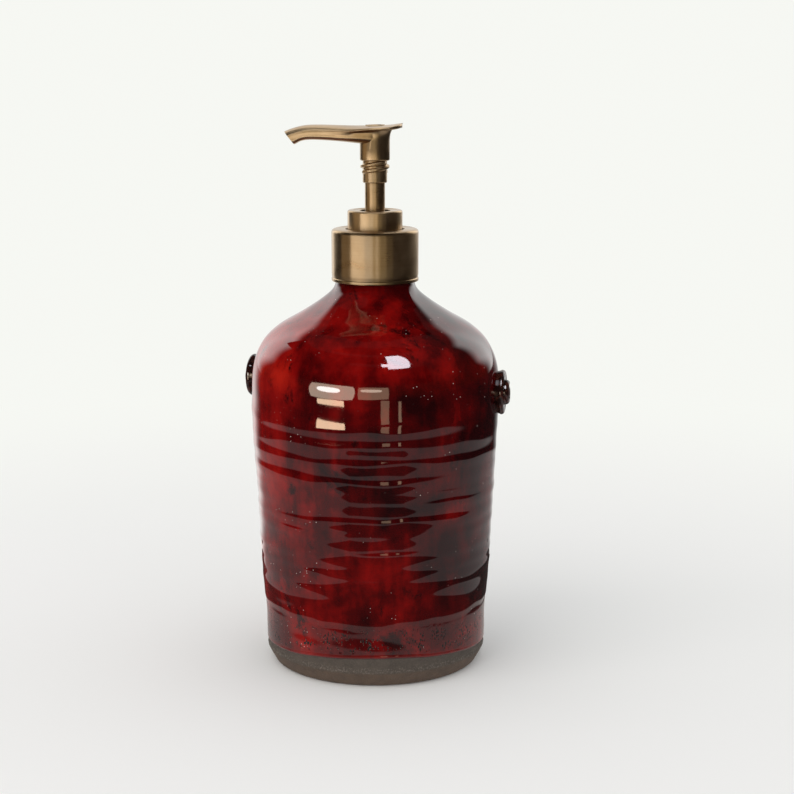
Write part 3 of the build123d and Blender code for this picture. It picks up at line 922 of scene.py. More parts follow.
@dataclass
class Sprig:
    """Clay button stuck on the shoulder with a rolled coil of clay on its face."""

    finishes: Finishes
    side: str
    angle: float
    height: float
    button: float
    coil: float
    seed: int
    wall: float = 47.6
    drop: float = 0.0

    def stand(self, local: np.ndarray) -> np.ndarray:
        """Turns (across, up, outward) into place: p = (wall + outward) N + across T + (height + up) Z.

        N is the outward direction at the sprig's angle and T the level direction square to it.

        Args:
            local: grid of points about the sprig's own middle.
        Returns:
            The grid in place.
        """
        a = math.radians(self.angle)
        outward, across = np.array((math.cos(a), math.sin(a), 0.0)), np.array((-math.sin(a), math.cos(a), 0.0))
        up = np.array((0.0, 0.0, 1.0))
        return (
            (self.wall + local[..., 2:3]) * outward + local[..., 0:1] * across
            + (self.height + local[..., 1:2]) * up
        )

    def button_grid(self) -> np.ndarray:
        """Lathe of the button about its own axis, r times 0.972 + 0.028 * waver(a), its face slightly uneven.

        Returns:
            Grid of (across, up, outward).
        """
        r = self.button
        profile = through((
            (0.0, -2.6), (r * 0.5, -2.6), (r - 1.0, -2.6), (r - 0.75, -1.2), (r - 0.35, 0.3), (r - 0.05, 1.1),
            (r - 0.35, 1.95), (r - 1.1, 2.32), (r - 2.2, 2.22), (r * 0.4, 2.2), (0.0, 2.2),
        ), 5)
        grid = turned(profile, 96)
        a = (np.arange(96) * TAU / 96)[None, :, None]
        grid[..., :2] *= 1.0 - 0.028 + 0.028 * ripple(a, self.seed, (2, 3, 5))
        grid[..., 2] += 0.07 * ripple(a[..., 0], self.seed + 1, (1, 2, 3)) * smooth(0.0, 2.0, grid[..., 2])
        return grid

    def coil_grid(self) -> np.ndarray:
        """Oval bar along the flat spiral r(t) = outer + (inner - outer) * t^0.9, pinched at both ends.

        Returns:
            Grid of (across, up, outward).
        """
        t = np.linspace(0.0, 1.0, 220)
        turn = 1.85 * TAU * t + math.radians(40.0)
        outer, inner = self.coil - 1.28, 0.55
        radius = outer + (inner - outer) * t**0.9
        radius = radius * (1.0 + 0.03 * ripple(turn, self.seed + 2, (1, 2)))
        thick = 1.22 * (0.12 + 0.88 * smooth(0.0, 0.10, t))
        thick = thick * (1.0 + 0.10 * ripple(turn, self.seed + 3, (1, 3)))
        thick = np.minimum(thick * (1.0 + 0.2 * smooth(0.75, 1.0, t)), 1.4)
        thick = thick * np.sqrt(np.clip((1.0 - t) / 0.035, 0.0, 1.0)) + 1e-3
        rise = np.minimum(1.75 * thick, 1.92)
        path = np.stack((radius * np.cos(turn), radius * np.sin(turn) - self.drop, 2.15 + 0.0 * t), axis=1)
        return carried(path, thick, rise, 20)

    def make(self) -> None:
        """Makes the button and its coil and sets them on the shoulder."""
        button = surface(f"{self.side}_button", self.stand(self.button_grid()))
        coil = surface(f"{self.side}_coil", self.stand(self.coil_grid()), capped=True, crease=60.0)
        Piece(button, self.finishes, Slot.DARK_GLAZE, "bottle", f"{self.side}_sprig_disc")
        Piece(coil, self.finishes, Slot.DARK_GLAZE, "bottle", f"{self.side}_sprig_coil")


# ---------------------------------------------------------------- the pump


@dataclass
class Collar:
    """Drawn bronze cup over the screw cap: rounded shoulder, rolled lower edge and a flat top."""

    finishes: Finishes
    skin: float = 0.5
    hole: float = 11.2
    corner: float = 1.5
    bead: float = 0.22

    def make(self) -> None:
        """Lathe of the cup's closed, filleted wall section."""
        e = Extent.of("collar_sheath")
        r, low, top, s = e.radius, e.bottom, e.top, self.skin
        wall = filleted((
            (r, low, 0.28), (r, low + 1.1, 0.15), (r - self.bead, low + 1.35, 0.12),
            (r - 0.05, low + 2.6, 0.4), (r, top, self.corner), (self.hole, top, 0.18),
            (self.hole, top - s, 0.15), (r - s, top - s, 0.9), (r - s, low, 0.15),
        ), 8)
        cup = surface("collar_cup", turned(wall, 192), loop_rows=True)
        Piece(cup, self.finishes, Slot.BRONZE, "collar", "collar_sheath")
        self.finishes.put_on_node("collar_liner", Slot.BROWN)


@dataclass
class LockRing:
    """Bronze cap of the lock ring that the stem comes out of."""

    finishes: Finishes
    skin: float = 0.5
    mouth: float = 5.8
    recess: float = 0.12

    def make(self) -> None:
        """Lathe of the cap's closed section, with a crisp shallow step inside its rounded edge."""
        e = Extent.of("lock_ring_sheath")
        r, low, top, s = e.radius, e.bottom, e.top, self.skin
        step = top - self.recess
        wall = filleted((
            (r, low, 0.1), (r, top, 0.75), (r - 1.9, top, 0.2), (r - 2.2, step, 0.1),
            (self.mouth + 0.5, step, 0.2), (self.mouth, step, 0.18), (self.mouth, top - s, 0.1),
            (r - s, top - s, 0.1), (r - s, low, 0.1),
        ), 7)
        cap = surface("lock_ring_cap", turned(wall, 144), loop_rows=True)
        Piece(cap, self.finishes, Slot.BRONZE, "pump", "lock_ring_sheath")


@dataclass
class Stem:
    """Bronze tube over the pump's stem and the threaded sleeve under the head."""

    finishes: Finishes
    bore: float = 3.3
    sleeve: float = 4.6
    lead: float = 4.4
    thread_bottom: float = 188.3
    turns: float = 0.95
    around: int = 160
    rows: int = 110
    thread_clear: tuple[float, float] = (192.3, 192.75)

    def tube(self) -> None:
        """Lathe of the tube, its ends slightly rounded."""
        e = Extent.of("stem_sheath")
        r = e.radius
        outside = (r, e.bottom, 0.12), (r, e.top, 0.12)
        wall = filleted((*outside, (self.bore, e.top, 0.1), (self.bore, e.bottom, 0.1)), 4)
        tube = surface("stem_tube", turned(wall, 96), loop_rows=True)
        Piece(tube, self.finishes, Slot.BRONZE, "head", "stem_sheath")

    def ridge(self, angle: np.ndarray, height: np.ndarray) -> np.ndarray:
        """Two-start thread: 1 on each helix z = bottom + lead * turn(a), 0 from 0.85 mm away, its ends faded.

        Args:
            angle: (1, around).
            height: (rows, 1).
        Returns:
            Share of the thread's depth.
        """
        total = 0.0 * angle + 0.0 * height
        for start in (0.0, math.pi):
            turn = np.mod(angle - start, TAU) / TAU
            away = np.abs(height - self.thread_bottom - self.lead * turn)
            run = smooth(0.0, 0.10, turn) * (1.0 - smooth(self.turns - 0.10, self.turns, turn))
            total = np.maximum(total, run * (1.0 - smooth(0.30, 0.85, away)))
        return total

    def skirt(self) -> None:
        """Sleeve r(a, z) = root + depth * ridge(a, z), a plain bore inside, no thread beside the boss."""
        e, boss = Extent.of("lock_skirt"), Extent.of("head_shell")
        low, top, bore = e.bottom, e.top, Extent.of("stem_sheath").radius
        depth = e.radius - self.sleeve
        threaded = boss.bottom + 0.15 if boss.bottom < top else top
        rows = np.concatenate((np.linspace(low + 0.45, threaded, self.rows), (top,)))
        outer = np.stack((np.full_like(rows, self.sleeve), rows), axis=1)
        start = np.array((
            (bore, low + 0.15), (bore + 0.12, low), (self.sleeve - 0.42, low), (self.sleeve - 0.12, low + 0.1),
        ))
        end = np.array(((bore, top),))
        profile = np.concatenate((start, outer, end))
        grid = turned(profile, self.around)
        angle = (np.arange(self.around) * TAU / self.around)[None, :]
        body = slice(len(start), len(start) + len(outer))
        height = profile[body, 1][:, None]
        clear = 1.0 - smooth(*self.thread_clear, height)
        radius = profile[body, 0][:, None] + depth * self.ridge(angle, height) * clear
        grid[body, :, 0], grid[body, :, 1] = radius * np.cos(angle), radius * np.sin(angle)
        sleeve = surface("thread_sleeve", grid, loop_rows=True, crease=60.0)
        Piece(sleeve, self.finishes, Slot.BRONZE, "head", "lock_skirt")

    def make(self) -> None:
        """Makes the tube and the sleeve."""
        self.tube()
        self.skirt()


@dataclass
class PumpHead:
    """Bronze head: thumb plate with an upturned back edge, drooping spout under it and a round boss."""

    finishes: Finishes
    plan: Points = (
        (-35.0, 3.9), (-31.0, 4.05), (-26.0, 4.3), (-21.0, 4.7), (-16.0, 5.35), (-12.0, 6.25), (-9.0, 7.2),
        (-6.0, 8.25), (-3.0, 9.1), (0.0, 9.65), (2.5, 9.8), (4.6, 9.35), (6.4, 8.4), (8.0, 6.9), (9.3, 5.0),
        (10.1, 2.7), (10.34, 0.0),
    )
    top: Points = (
        (-36.0, 202.75), (-34.2, 203.4), (-30.7, 204.75), (-26.0, 205.85), (-20.0, 206.05), (-8.0, 205.75),
        (4.0, 205.82), (7.8, 206.28), (10.35, 206.95), (11.5, 207.2),
    )
    under: Points = (
        (-36.0, 201.2), (-34.2, 201.9), (-31.4, 202.75), (-26.0, 204.2), (-20.0, 204.75), (-10.0, 204.4),
        (0.0, 204.25), (6.3, 204.4), (10.35, 205.0), (11.5, 205.2),
    )
    belly: Points = (
        (-36.0, 197.2), (-32.0, 198.2), (-30.0, 198.75), (-27.4, 200.0), (-24.0, 200.45), (-17.3, 200.2),
        (-10.7, 199.65), (-4.0, 198.9), (0.0, 198.7), (3.0, 201.0), (5.0, 203.9), (8.0, 204.6), (11.5, 205.3),
    )
    channel: Points = (
        (-36.0, 3.7), (-31.0, 3.85), (-24.0, 4.25), (-16.0, 5.0), (-12.0, 5.7), (-9.0, 6.1), (-5.0, 6.2),
        (0.0, 5.6), (3.0, 3.9), (5.0, 2.2), (11.5, 1.2),
    )
    mouth_x: float = -31.95
    mouth_z: float = 201.2
    slant: float = -0.787
    fan: float = 4.5
    bend_start: float = -22.0
    bend_radius: float = 27.0
    nozzle_z: float = 203.15
    boss_radius: float = 5.62
    socket_radius: float = 4.6
    socket_bottom: float = 190.0
    socket_top: float = 205.1
    clearance: float = 0.02
    mouth_radius: float = 2.02
    mouth_sweep: float = 34.0
    arrow_radius: float = 4.0

    def level(self, points: Points, x: np.ndarray) -> np.ndarray:
        """Value of the smooth curve through (x, value) points at x."""
        fine = through(points, 24)
        return np.interp(x, fine[:, 0], fine[:, 1])

    def shell_grid(self) -> np.ndarray:
        """Half sections carried along the plan's outline and mirrored.

        Each section runs from the crown, over the plate's rounded edge and the fillet under it, down the
        channel's side and round its bottom. A key point lies the share s of the way from the middle line to the
        outline, moved in by its inset along the outline's normal. Near the mouth a section leans by
        x += slant * (z - mouth height), found by repeating the height lookup.

        Returns:
            Grid (stations, round the section, 3).
        """
        outline = through(self.plan, 7)
        x_out, w = outline[:, 0], np.maximum(outline[:, 1], 0.0)
        normal = np.gradient(outline, axis=0)
        normal = np.stack((-normal[:, 1], normal[:, 0]), axis=1)
        normal *= -1.0 / np.linalg.norm(normal, axis=1, keepdims=True)
        normal *= np.where(normal[:, 1:] < -0.05, -1.0, 1.0)
        past = x_out - self.fan + 3.0
        spine = np.where(x_out < self.fan - 3.0, x_out, self.fan - 3.0 * np.exp(-past / 3.0))
        spine = np.where(w < 1e-6, np.minimum(spine, self.fan), spine)
        half = self.level(self.channel, x_out)
        share = np.minimum(half / np.maximum(w, 1e-3), 0.96)
        tuck = np.clip(((1.0 - share) * w - 0.15) / 1.2, 0.04, 1.0)
        tight = np.clip((share - 0.8) / 0.14, 0.0, 1.0)
        one = np.ones_like(w)
        keys = (
            (0.0 * one, 0.0, 0), (0.42 * one, 0.0, 1), (0.76 * one, 0.0, 2), (one, 0.55, 3), (one, 0.14, 4),
            (one, 0.0, 5), (one, 0.16 * tuck, 6), (one, 0.6 * tuck, 7),
            (share + (0.45 + 0.40 * tight) * (1 - share), 0.0, 8),
            (share + (0.10 + 0.58 * tight) * (1 - share), 0.0, 9), (share, 0.0, 10), (0.96 * share, 0.0, 11),
            (0.80 * share, 0.0, 12), (0.46 * share, 0.0, 13), (0.0 * one, 0.0, 14),
        )
        lean = self.slant * (1.0 - smooth(-35.0, -22.0, x_out))
        rows = []
        for s, inset, which in keys:
            inset = np.minimum(inset, 0.8 * w)
            x = spine + s * (x_out - spine) - inset * normal[:, 0]
            y = np.maximum(s * w - inset * normal[:, 1], 0.0)
            z = self.key_height(which, x)
            for _ in range(6):
                z = self.key_height(which, x + self.mouth_shift(x_out) + lean * (z - self.mouth_z))
            rows.append(np.stack((x + self.mouth_shift(x_out) + lean * (z - self.mouth_z), y, z), axis=1))
        side = through(np.stack(rows), 5)
        other = side[-2:0:-1] * np.array((1.0, -1.0, 1.0))
        return np.concatenate((side, other)).transpose(1, 0, 2)

    def mouth_shift(self, x_out: np.ndarray) -> np.ndarray:
        """Moves the first station to the mouth's middle, fading out along the spout."""
        return (self.mouth_x + 35.0) * (1.0 - smooth(-35.0, -24.0, x_out))

    def crown(self, x: np.ndarray) -> np.ndarray:
        """How far the top falls from the middle line to its edge: 1.6 mm on the spout, 0.4 mm on the pad."""
        return 1.6 - 1.2 * smooth(-13.0, 4.0, x)

    def key_height(self, which: int, x: np.ndarray) -> np.ndarray:
        """Height of a section's key point: points 0 to 3 follow the crown, the rest divide plate and channel.

        Args:
            which: the key point, 0 at the top's middle line to 14 at the channel's.
            x: in millimetres.
        Returns:
            The height at each x.
        """
        top, under, belly = self.level(self.top, x), self.level(self.under, x), self.level(self.belly, x)
        crown = self.crown(x)
        under = np.minimum(under, top - crown - 0.7)
        thick, deep = top - crown - under, np.maximum(under - belly, 0.05)
        heights = (
            top, top - 0.16 * crown, top - 0.52 * crown, top - 0.80 * crown, top - crown - 0.14 * thick,
            top - crown - 0.5 * thick, under + 0.16 * thick, under, under - 0.02 * deep, under - 0.12 * deep,
            under - 0.34 * deep, under - 0.62 * deep, under - 0.86 * deep, under - 0.97 * deep, belly,
        )
        return heights[which]

    def boss(self) -> bpy.types.Object:
        """Lathe of the boss: a small chamfer and groove at its foot, straight, then flaring into the plate."""
        e = Extent.of("head_shell")
        low, r = e.bottom, self.boss_radius
        profile = np.array((
            (0.0, low), (r - 0.55, low), (r - 0.25, low + 0.1), (r - 0.05, low + 0.35), (r, low + 0.6),
            (r, low + 4.0), (r, low + 7.6), (r + 0.06, low + 8.8), (r + 0.25, low + 9.9),
            (r + 0.62, low + 10.9), (r + 0.95, low + 11.5), (r + 1.0, low + 12.0), (0.0, low + 12.1),
        ))
        return surface("boss", turned(profile, 128))

    def bore(self, radius: float, beyond: float) -> bpy.types.Object:
        """Bar along the spout's channel: straight from the stem, then round an arc, and beyond the mouth.

        Args:
            radius: of the bar.
            beyond: degrees of arc.
        Returns:
            The bar.
        """
        along = np.linspace(-1.0, self.bend_start, 12)
        straight = np.stack((along, 0.0 * along, 0.0 * along + self.nozzle_z), axis=1)
        turn = np.radians(np.linspace(0.0, beyond, 20))[1:]
        arc = np.stack((
            self.bend_start - self.bend_radius * np.sin(turn), 0.0 * turn,
            self.nozzle_z - self.bend_radius * (1.0 - np.cos(turn)),
        ), axis=1)
        return surface("bore", carried(np.concatenate((straight, arc)), radius, radius, 40), capped=True)

    def arrows(self) -> list[bpy.types.Object]:
        """Two small raised turn arrows on the pad: bars along arcs of 128 degrees with a head at one end.

        Returns:
            The two bars.
        """
        made = []
        for sign in (1.0, -1.0):
            t = np.linspace(0.0, 1.0, 40)
            turn = np.radians(18.0 + 128.0 * t) * sign
            x, y = self.arrow_radius * np.cos(turn) - 0.2, self.arrow_radius * np.sin(turn)
            z = self.key_height(1, x)
            shaft, point = 0.34 * smooth(-0.02, 0.05, t), 0.95 * (1.0 - t) / 0.28
            width = np.where(t < 0.72, shaft, point) + 0.02
            path = np.stack((x, y, z), axis=1)
            made.append(surface(f"arrow_{sign:+.0f}", carried(path, width, 0.30, 12), capped=True))
        return made

    def make(self) -> None:
        """Joins plate, spout and boss, cuts the socket and the mouth, and adds the arrows."""
        head = surface("pump_head", self.shell_grid(), capped=True)
        carve(head, self.boss(), "UNION")
        for arrow in self.arrows():
            carve(head, arrow, "UNION")
        r, low, top = self.socket_radius, self.socket_bottom, self.socket_top - self.clearance
        socket = np.array(((0.0, low), (r, low), (r, top), (0.0, top)))
        carve(head, surface("socket", turned(socket, 96)), "DIFFERENCE")
        carve(head, self.bore(self.mouth_radius, self.mouth_sweep), "DIFFERENCE")
        Piece(head, self.finishes, Slot.BRONZE, "head", "head_shell")
        head.data.materials[0] = self.finishes.satin
        self.finishes.put_on_node("nozzle_liner", Slot.BROWN)
        self.finishes.put_on_node("stem", Slot.NATURAL)


@dataclass
class PumpWorks:
    """The unseen works: cylinder, tube, ball, piston and the return spring."""

    finishes: Finishes
    wire: float = 0.45
    mean: float = 4.9
    ledge: float = 113.0
    seat: float = 146.5
    active: float = 8.0
    closed: float = 1.4
    gap: float = 0.06
    ease: float = 0.3

    def spring(self) -> None:
        """Wire along a helix: z(t) rises slowly over the closed coils at its ends, evenly over the open ones."""
        turns = self.active + 2.0 * self.closed
        t = np.linspace(0.0, turns, int(turns * 34))
        pitch = 2.0 * self.wire + 0.04
        low, high = self.ledge + self.wire + self.gap, self.seat - self.wire - self.gap
        flat = self.closed * pitch
        middle = (high - low - 2.0 * flat) / self.active
        ends = (self.closed, turns - self.closed)
        opening, closing = (smooth(end - self.ease, end + self.ease, t) for end in ends)
        rate = pitch + (middle - pitch) * opening - (middle - pitch) * closing
        z = np.concatenate(((0.0,), np.cumsum(0.5 * (rate[1:] + rate[:-1]) * np.diff(t))))
        z = low + z * (high - low) / z[-1]
        path = np.stack((self.mean * np.cos(TAU * t), self.mean * np.sin(TAU * t), z), axis=1)
        coil = surface("return_spring", carried(path, self.wire, self.wire, 14), capped=True)
        self.finishes.put(coil, Slot.STEEL)
        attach(coil, "pump")
        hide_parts("pump_spring")
        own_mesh(coil)

    def make(self) -> None:
        """Winds the spring and dresses the CAD nodes that stay."""
        self.spring()
        kept = {
            "neck_insert": Slot.BROWN, "adhesive_ring": Slot.GLUE, "neck_gasket": Slot.FOAM,
            "pump_housing": Slot.NATURAL, "dip_tube": Slot.TUBE, "inlet_ball": Slot.STEEL,
            "lock_ring_core": Slot.BROWN, "piston_seat": Slot.NATURAL, "piston": Slot.NATURAL,
        }
        for node, slot in kept.items():
            self.finishes.put_on_node(node, slot)
            LOG.info("%s: kept, %s", node, slot.value)


# ---------------------------------------------------------------- the studio


@dataclass(frozen=True)
class Panel:
    """Bright card seen only in reflections and as soft light: its place, in degrees, and its brightness."""

    name: str
    left: float
    right: float
    low: float
    high: float
    colour: Colour
    strength: float
    spread: float = 0.0
    distance: float = 0.42
    rounding: float = 0.0
    only_on: tuple[str, ...] = ()
    steps: int = 17
    base: float = 0.10

    def make(self) -> None:
        """Curved card on a cylinder about Z: azimuth from -Y towards +X along it, elevation from 0.1 m up it.

        The unit square (u, v) is drawn in towards a disc by the rounding share: u sqrt(1 - v^2 / 2) and
        v sqrt(1 - u^2 / 2).
        """
        u = np.linspace(-1.0, 1.0, self.steps)[:, None]
        v, k = u.T, self.rounding
        across = u * (1.0 - k + k * np.sqrt(1.0 - v * v / 2.0))
        along = v * (1.0 - k + k * np.sqrt(1.0 - u * u / 2.0))
        azimuth = np.radians((self.left + self.right) / 2.0 + across * (self.right - self.left) / 2.0)
        elevation = np.radians((self.low + self.high) / 2.0 + along * (self.high - self.low) / 2.0)
        x, y = self.distance * np.sin(azimuth), -self.distance * np.cos(azimuth)
        card = sheet(self.name, np.stack((x, y, np.tan(elevation) * self.distance + self.base), axis=-1))
        card.visible_camera = card.visible_shadow = card.visible_transmission = False
        card.visible_diffuse, card.visible_glossy = self.spread > 0.0, self.spread < 1.0
        card.data.materials.append(self.glow())
        if self.only_on:
            lit = bpy.data.collections.new(f"{self.name}_lit")
            for piece in self.only_on:
                lit.objects.link(bpy.data.objects[piece])
            card.light_linking.receiver_collection = lit

    def glow(self) -> bpy.types.Material:
        """Emission at full strength for mirror rays and at the spread share for soft ones.

        Returns:
            The material.
        """
        material = bpy.data.materials.new(self.name)
        material.use_nodes = True
        material.node_tree.nodes.clear()
        n = Nodes(material.node_tree)
        ray = n.add("LightPath").outputs["Is Glossy Ray"]
        share = {"To Min": self.strength * self.spread, "To Max": self.strength}
        strength = n.add("MapRange", {"Value": ray, **share})
        shader = n.add("Emission", {"Color": rgba(self.colour), "Strength": strength.outputs[0]})
        n.add("OutputMaterial", {"Surface": shader.outputs[0]})
        return material


@dataclass
class Studio:
    """Pale floor, pale backdrop behind, a dim room in front, and the window and lamp that the glaze mirrors."""

    lens: float = 85.0
    camera_place: tuple[float, float, float] = (0.0083, -0.7068, 0.2389)
    camera_pitch: float = 10.93
    mat_radius: float = 0.088
    table_low: tuple[float, float] = (-0.100, -0.24)
    table_high: tuple[float, float] = (0.111, 0.14)
    sweep: float = 0.36
    backdrop: float = 0.95
    flank: float = 2.1
    soft: float = 0.86
    floor_size: float = 6.0
    fade: tuple[float, float] = (0.16, 0.55)
    hood_turn: tuple[float, float] = (-10.0, 65.0)
    hood_ring: tuple[float, float] = (0.0145, 0.0222)
    sensor: float = 36.0

    def camera(self) -> None:
        """Camera at the viewing angle, level and looking along +Y with a slight downward pitch."""
        data = bpy.data.cameras.new("camera")
        data.lens, data.sensor_width = self.lens, self.sensor
        made = bpy.data.objects.new("camera", data)
        made.location = self.camera_place
        made.rotation_euler = (math.radians(90.0 - self.camera_pitch), 0.0, 0.0)
        bpy.context.scene.collection.objects.link(made)
        bpy.context.scene.camera = made

    def floor(self) -> None:
        """Flat pale floor that melts into the backdrop; mirror rays see a mat on a dark slab in a dim room."""
        size, sink = self.floor_size, -1e-4
        mesh = bpy.data.meshes.new("floor")
        square = ((-size, -size, sink), (size, -size, sink), (size, size, sink), (-size, size, sink))
        mesh.from_pydata(square, [], [(0, 1, 2, 3)])
        floor = placed("floor", mesh)
        r = Recipe("pale_floor")
        ray = r.add("LightPath")
        x, y = r.axis(0), r.axis(1)
        reach = r.level(x, y)
        mat = r.span(reach, self.mat_radius + 0.001, self.mat_radius - 0.001)
        inside = [
            r.span(value, low + side * 0.001, low - side * 0.001)
            for value, low, side in (
                (x, self.table_low[0], -1.0), (x, self.table_high[0], 1.0),
                (y, self.table_low[1], -1.0), (y, self.table_high[1], 1.0),
            )
        ]
        slab = r.times(r.times(inside[0], inside[1]), r.times(inside[2], inside[3]))
        slab = r.times(slab, r.less(1.0, mat))
        facing = [r.sum("DIVIDE", value, r.sum("MAXIMUM", reach, 1e-4)) for value in (x, y)]
        behind = r.span(r.less(facing[1], r.span(facing[0], 0.05, 0.35, 0.0, 0.16)), 0.60, 0.88)
        far = r.times(r.span(reach, self.sweep - 0.02, self.sweep + 0.02), r.less(1.0, behind))
        flank = r.span(facing[1], 0.98, 0.80, 1.0, 0.8 * self.flank)
        backdrop = r.blend(1.0, (0.90, 0.90, 0.88), flank, "MULTIPLY")
        mirrored = r.blend(behind, (0.46, 0.43, 0.42), backdrop)
        mirrored = r.blend(far, mirrored, (0.020, 0.018, 0.018))
        mirrored = r.blend(slab, mirrored, (0.050, 0.048, 0.046))
        mirrored = r.blend(mat, mirrored, (0.50, 0.47, 0.45))
        glow = r.add("Emission", {"Color": mirrored})
        pale = r.blend(r.span(r.noise(3.0, 2.0), 0.3, 0.7), (0.885, 0.890, 0.880), (0.90, 0.90, 0.895))
        plain = r.dress(Base_Color=pale, Roughness=0.95, IOR=1.2)
        pale_air = r.add("Emission", {"Color": rgba(BACKDROP_COLOUR)})
        distant = r.times(r.span(reach, *self.fade), ray.outputs["Is Camera Ray"])
        seen = r.add("MixShader", {0: distant, 1: r.shader.outputs[0], 2: pale_air.outputs[0]})
        mix = r.add("MixShader", {0: ray.outputs["Is Glossy Ray"], 1: seen.outputs[0], 2: glow.outputs[0]})
        r.tree.links.new(mix.outputs[0], r.tree.nodes["Material Output"].inputs["Surface"])
        floor.data.materials.append(plain)

    def hood(self) -> None:
        """Flat dark piece of ring under the collar, for mirror rays only: it keeps the lamp out of the neck."""
        turn = np.radians(np.linspace(*self.hood_turn, 24))
        rim = np.stack((np.sin(turn), -np.cos(turn), 0.0 * turn), axis=1)
        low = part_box("collar_sheath")[0][2] - 0.0008
        hood = sheet("hood", np.stack([rim * radius for radius in self.hood_ring]) + np.array((0.0, 0.0, low)))
        hood.visible_camera = hood.visible_shadow = hood.visible_transmission = hood.visible_diffuse = False
        r = Recipe("hood")
        hood.data.materials.append(r.dress(Base_Color=rgba((0.02, 0.004, 0.004)), Roughness=0.9))

    def world(self) -> None:
        """Pale to the camera and soft light; mirror rays see white low down behind and a dim room elsewhere."""
        world = bpy.data.worlds.new("studio")
        bpy.context.scene.world = world
        world.use_nodes = True
        world.node_tree.nodes.clear()
        n = Nodes(world.node_tree)
        x, y, z = n.apart(n.add("TexCoord").outputs["Generated"])
        facing = n.sum("DIVIDE", y, n.sum("MAXIMUM", n.level(x, y), 1e-4))
        behind = n.span(n.plus(facing, n.times(n.span(z, 0.03, 0.28), 0.22)), 0.62, 0.86)
        white = n.times(behind, n.span(z, 0.70, 0.60))
        ceiling = n.blend(n.span(z, 0.2, 0.9), (0.032, 0.021, 0.014), (0.045, 0.040, 0.038))
        plain = (self.backdrop, self.backdrop, self.backdrop * 0.985)
        bright = tuple(self.flank * value for value in plain)
        mirror = n.blend(white, ceiling, n.blend(n.span(facing, 0.98, 0.80), plain, bright))
        ray = n.add("LightPath").outputs
        seen = n.blend(ray["Is Camera Ray"], (self.soft, self.soft, self.soft), BACKDROP_COLOUR)
        background = n.add("Background", {"Color": n.blend(ray["Is Glossy Ray"], seen, mirror)})
        n.add("OutputWorld", {"Surface": background.outputs[0]})

    def make(self) -> None:
        """Camera, floor, world and the cards."""
        bpy.context.scene.view_settings.view_transform = "Standard"
        self.camera()
        self.floor()
        self.world()
        self.hood()
        cream, tan, lilac = (1.0, 0.80, 0.62), (1.0, 0.70, 0.47), (0.93, 0.91, 1.0)
        glint, cool = (1.0, 0.95, 0.90), (0.96, 0.97, 1.0)
        metal = ("collar_cup", "lock_ring_cap", "stem_tube", "thread_sleeve", "pump_head")
        head = ("pump_head", "thread_sleeve", "stem_tube", "lock_ring_cap")
        clay = ("stoneware_body", "left_button", "left_coil", "right_button", "right_coil")
        olive, amber, warm, day = (1.0, 0.88, 0.64), (1.0, 0.78, 0.52), (1.0, 0.94, 0.88), (1.0, 0.98, 0.97)
        cards = (
            Panel("window_high_left", -60.0, -17.5, -4.6, 13.5, cream, 6.0, rounding=0.35, only_on=clay),
            Panel("window_glint", -52.0, -30.0, 2.5, 9.5, glint, 21.0, 0.0, 0.4, 0.8, clay),
            Panel("window_glint_right", -13.0, 6.0, 5.0, 9.0, cream, 9.0, 0.0, 0.4, 0.6, clay),
            Panel("window_high_right", -15.0, 12.0, -3.5, 12.0, tan, 2.6, rounding=0.15, only_on=clay),
            Panel("window_low", -52.0, -27.0, -8.8, -5.0, tan, 15.0, rounding=0.1, only_on=clay),
            Panel("door", 5.0, 12.0, -13.0, -4.5, tan, 2.2, only_on=clay),
            Panel("door_edge", 20.0, 22.5, -13.0, -5.0, tan, 3.0, only_on=clay),
            Panel("lamp", 8.0, 42.0, 38.0, 64.0, lilac, 15.0, distance=0.8, rounding=0.6, only_on=clay),
            Panel("soft_key", -75.0, -15.0, 25.0, 60.0, (1.0, 0.97, 0.93), 2.2, 1.0, 2.5),
            Panel("metal_far_left", -92.0, -61.0, 17.0, 43.0, amber, 0.34, distance=0.1, only_on=metal),
            Panel("metal_window", -61.0, -23.0, 17.0, 43.0, warm, 2.15, distance=0.101, only_on=metal),
            Panel("metal_near_left", -25.0, -5.0, 17.0, 38.0, day, 1.6, distance=0.1, only_on=metal),
            Panel("metal_front", -5.0, 12.0, 17.0, 38.0, olive, 1.0, distance=0.101, only_on=metal),
            Panel("metal_glint", 3.0, 6.5, 17.0, 38.0, day, 1.7, distance=0.1, only_on=metal),
            Panel("metal_right", 12.0, 28.0, 17.0, 35.0, olive, 0.55, distance=0.1, only_on=metal),
            Panel("metal_far_right", 28.0, 44.0, 17.0, 34.0, olive, 0.18, distance=0.1, only_on=metal),
            Panel("metal_above", 125.0, 235.0, 58.0, 84.0, cool, 1.25, distance=0.1, only_on=metal),
            Panel("head_left", -105.0, -60.0, 40.0, 53.0, amber, 0.5, distance=0.085, only_on=head),
            Panel("head_window", -60.0, -30.0, 40.0, 44.5, warm, 2.6, distance=0.085, only_on=head),
            Panel("head_front", -30.0, 12.0, 40.0, 44.5, olive, 1.5, distance=0.085, only_on=head),
            Panel("head_side", -60.0, 12.0, 44.5, 53.0, olive, 0.14, distance=0.085, only_on=head),
            Panel("head_brow", -60.0, 60.0, 58.7, 82.0, cool, 1.5, distance=0.085, only_on=head),
        )
        for card in cards:
            card.make()
            LOG.info("%s: card at %.0f to %.0f degrees", card.name, card.left, card.right)


def corners(box: Any) -> list[list[float]]:
    """A pair of corners as plain lists."""
    return [list(corner) for corner in box]


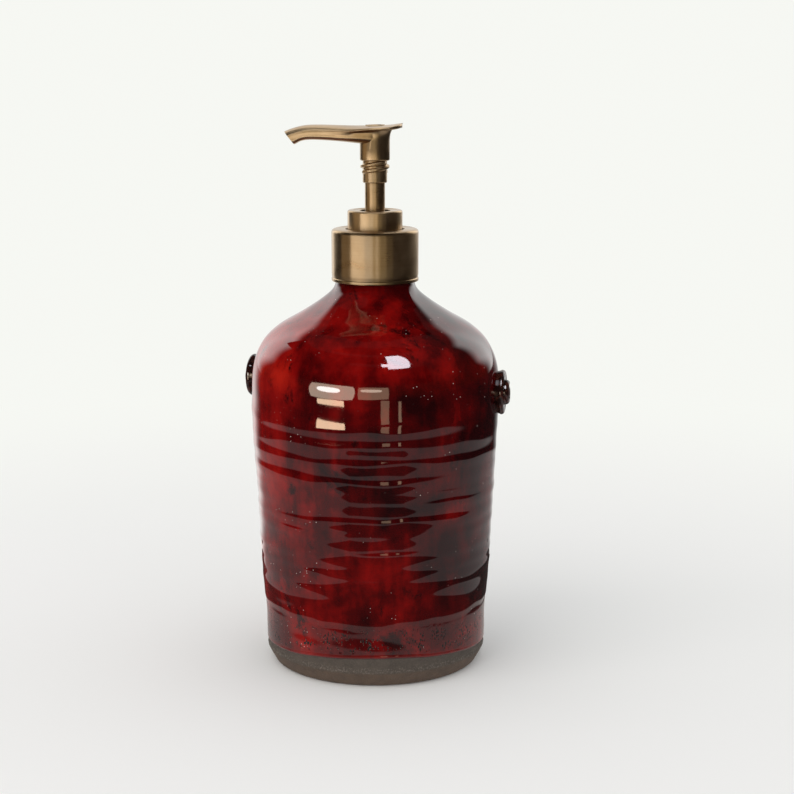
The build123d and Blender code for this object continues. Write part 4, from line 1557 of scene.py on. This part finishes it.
def main() -> None:
    """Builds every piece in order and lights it."""
    logging.basicConfig(level=logging.INFO, format="%(name)s %(message)s")
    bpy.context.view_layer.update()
    finishes = Finishes()
    builders = (
        StonewareBody(finishes),
        Sprig(finishes, "left", 166.0, 109.0, 8.3, 5.2, 21),
        Sprig(finishes, "right", -8.5, 105.9, 8.7, 6.0, 31, drop=0.6),
        Collar(finishes), LockRing(finishes), Stem(finishes), PumpHead(finishes), PumpWorks(finishes), Studio(),
    )
    for builder in builders:
        LOG.info("making %s", type(builder).__name__)
        builder.make()


if __name__ == "__main__":
    main()
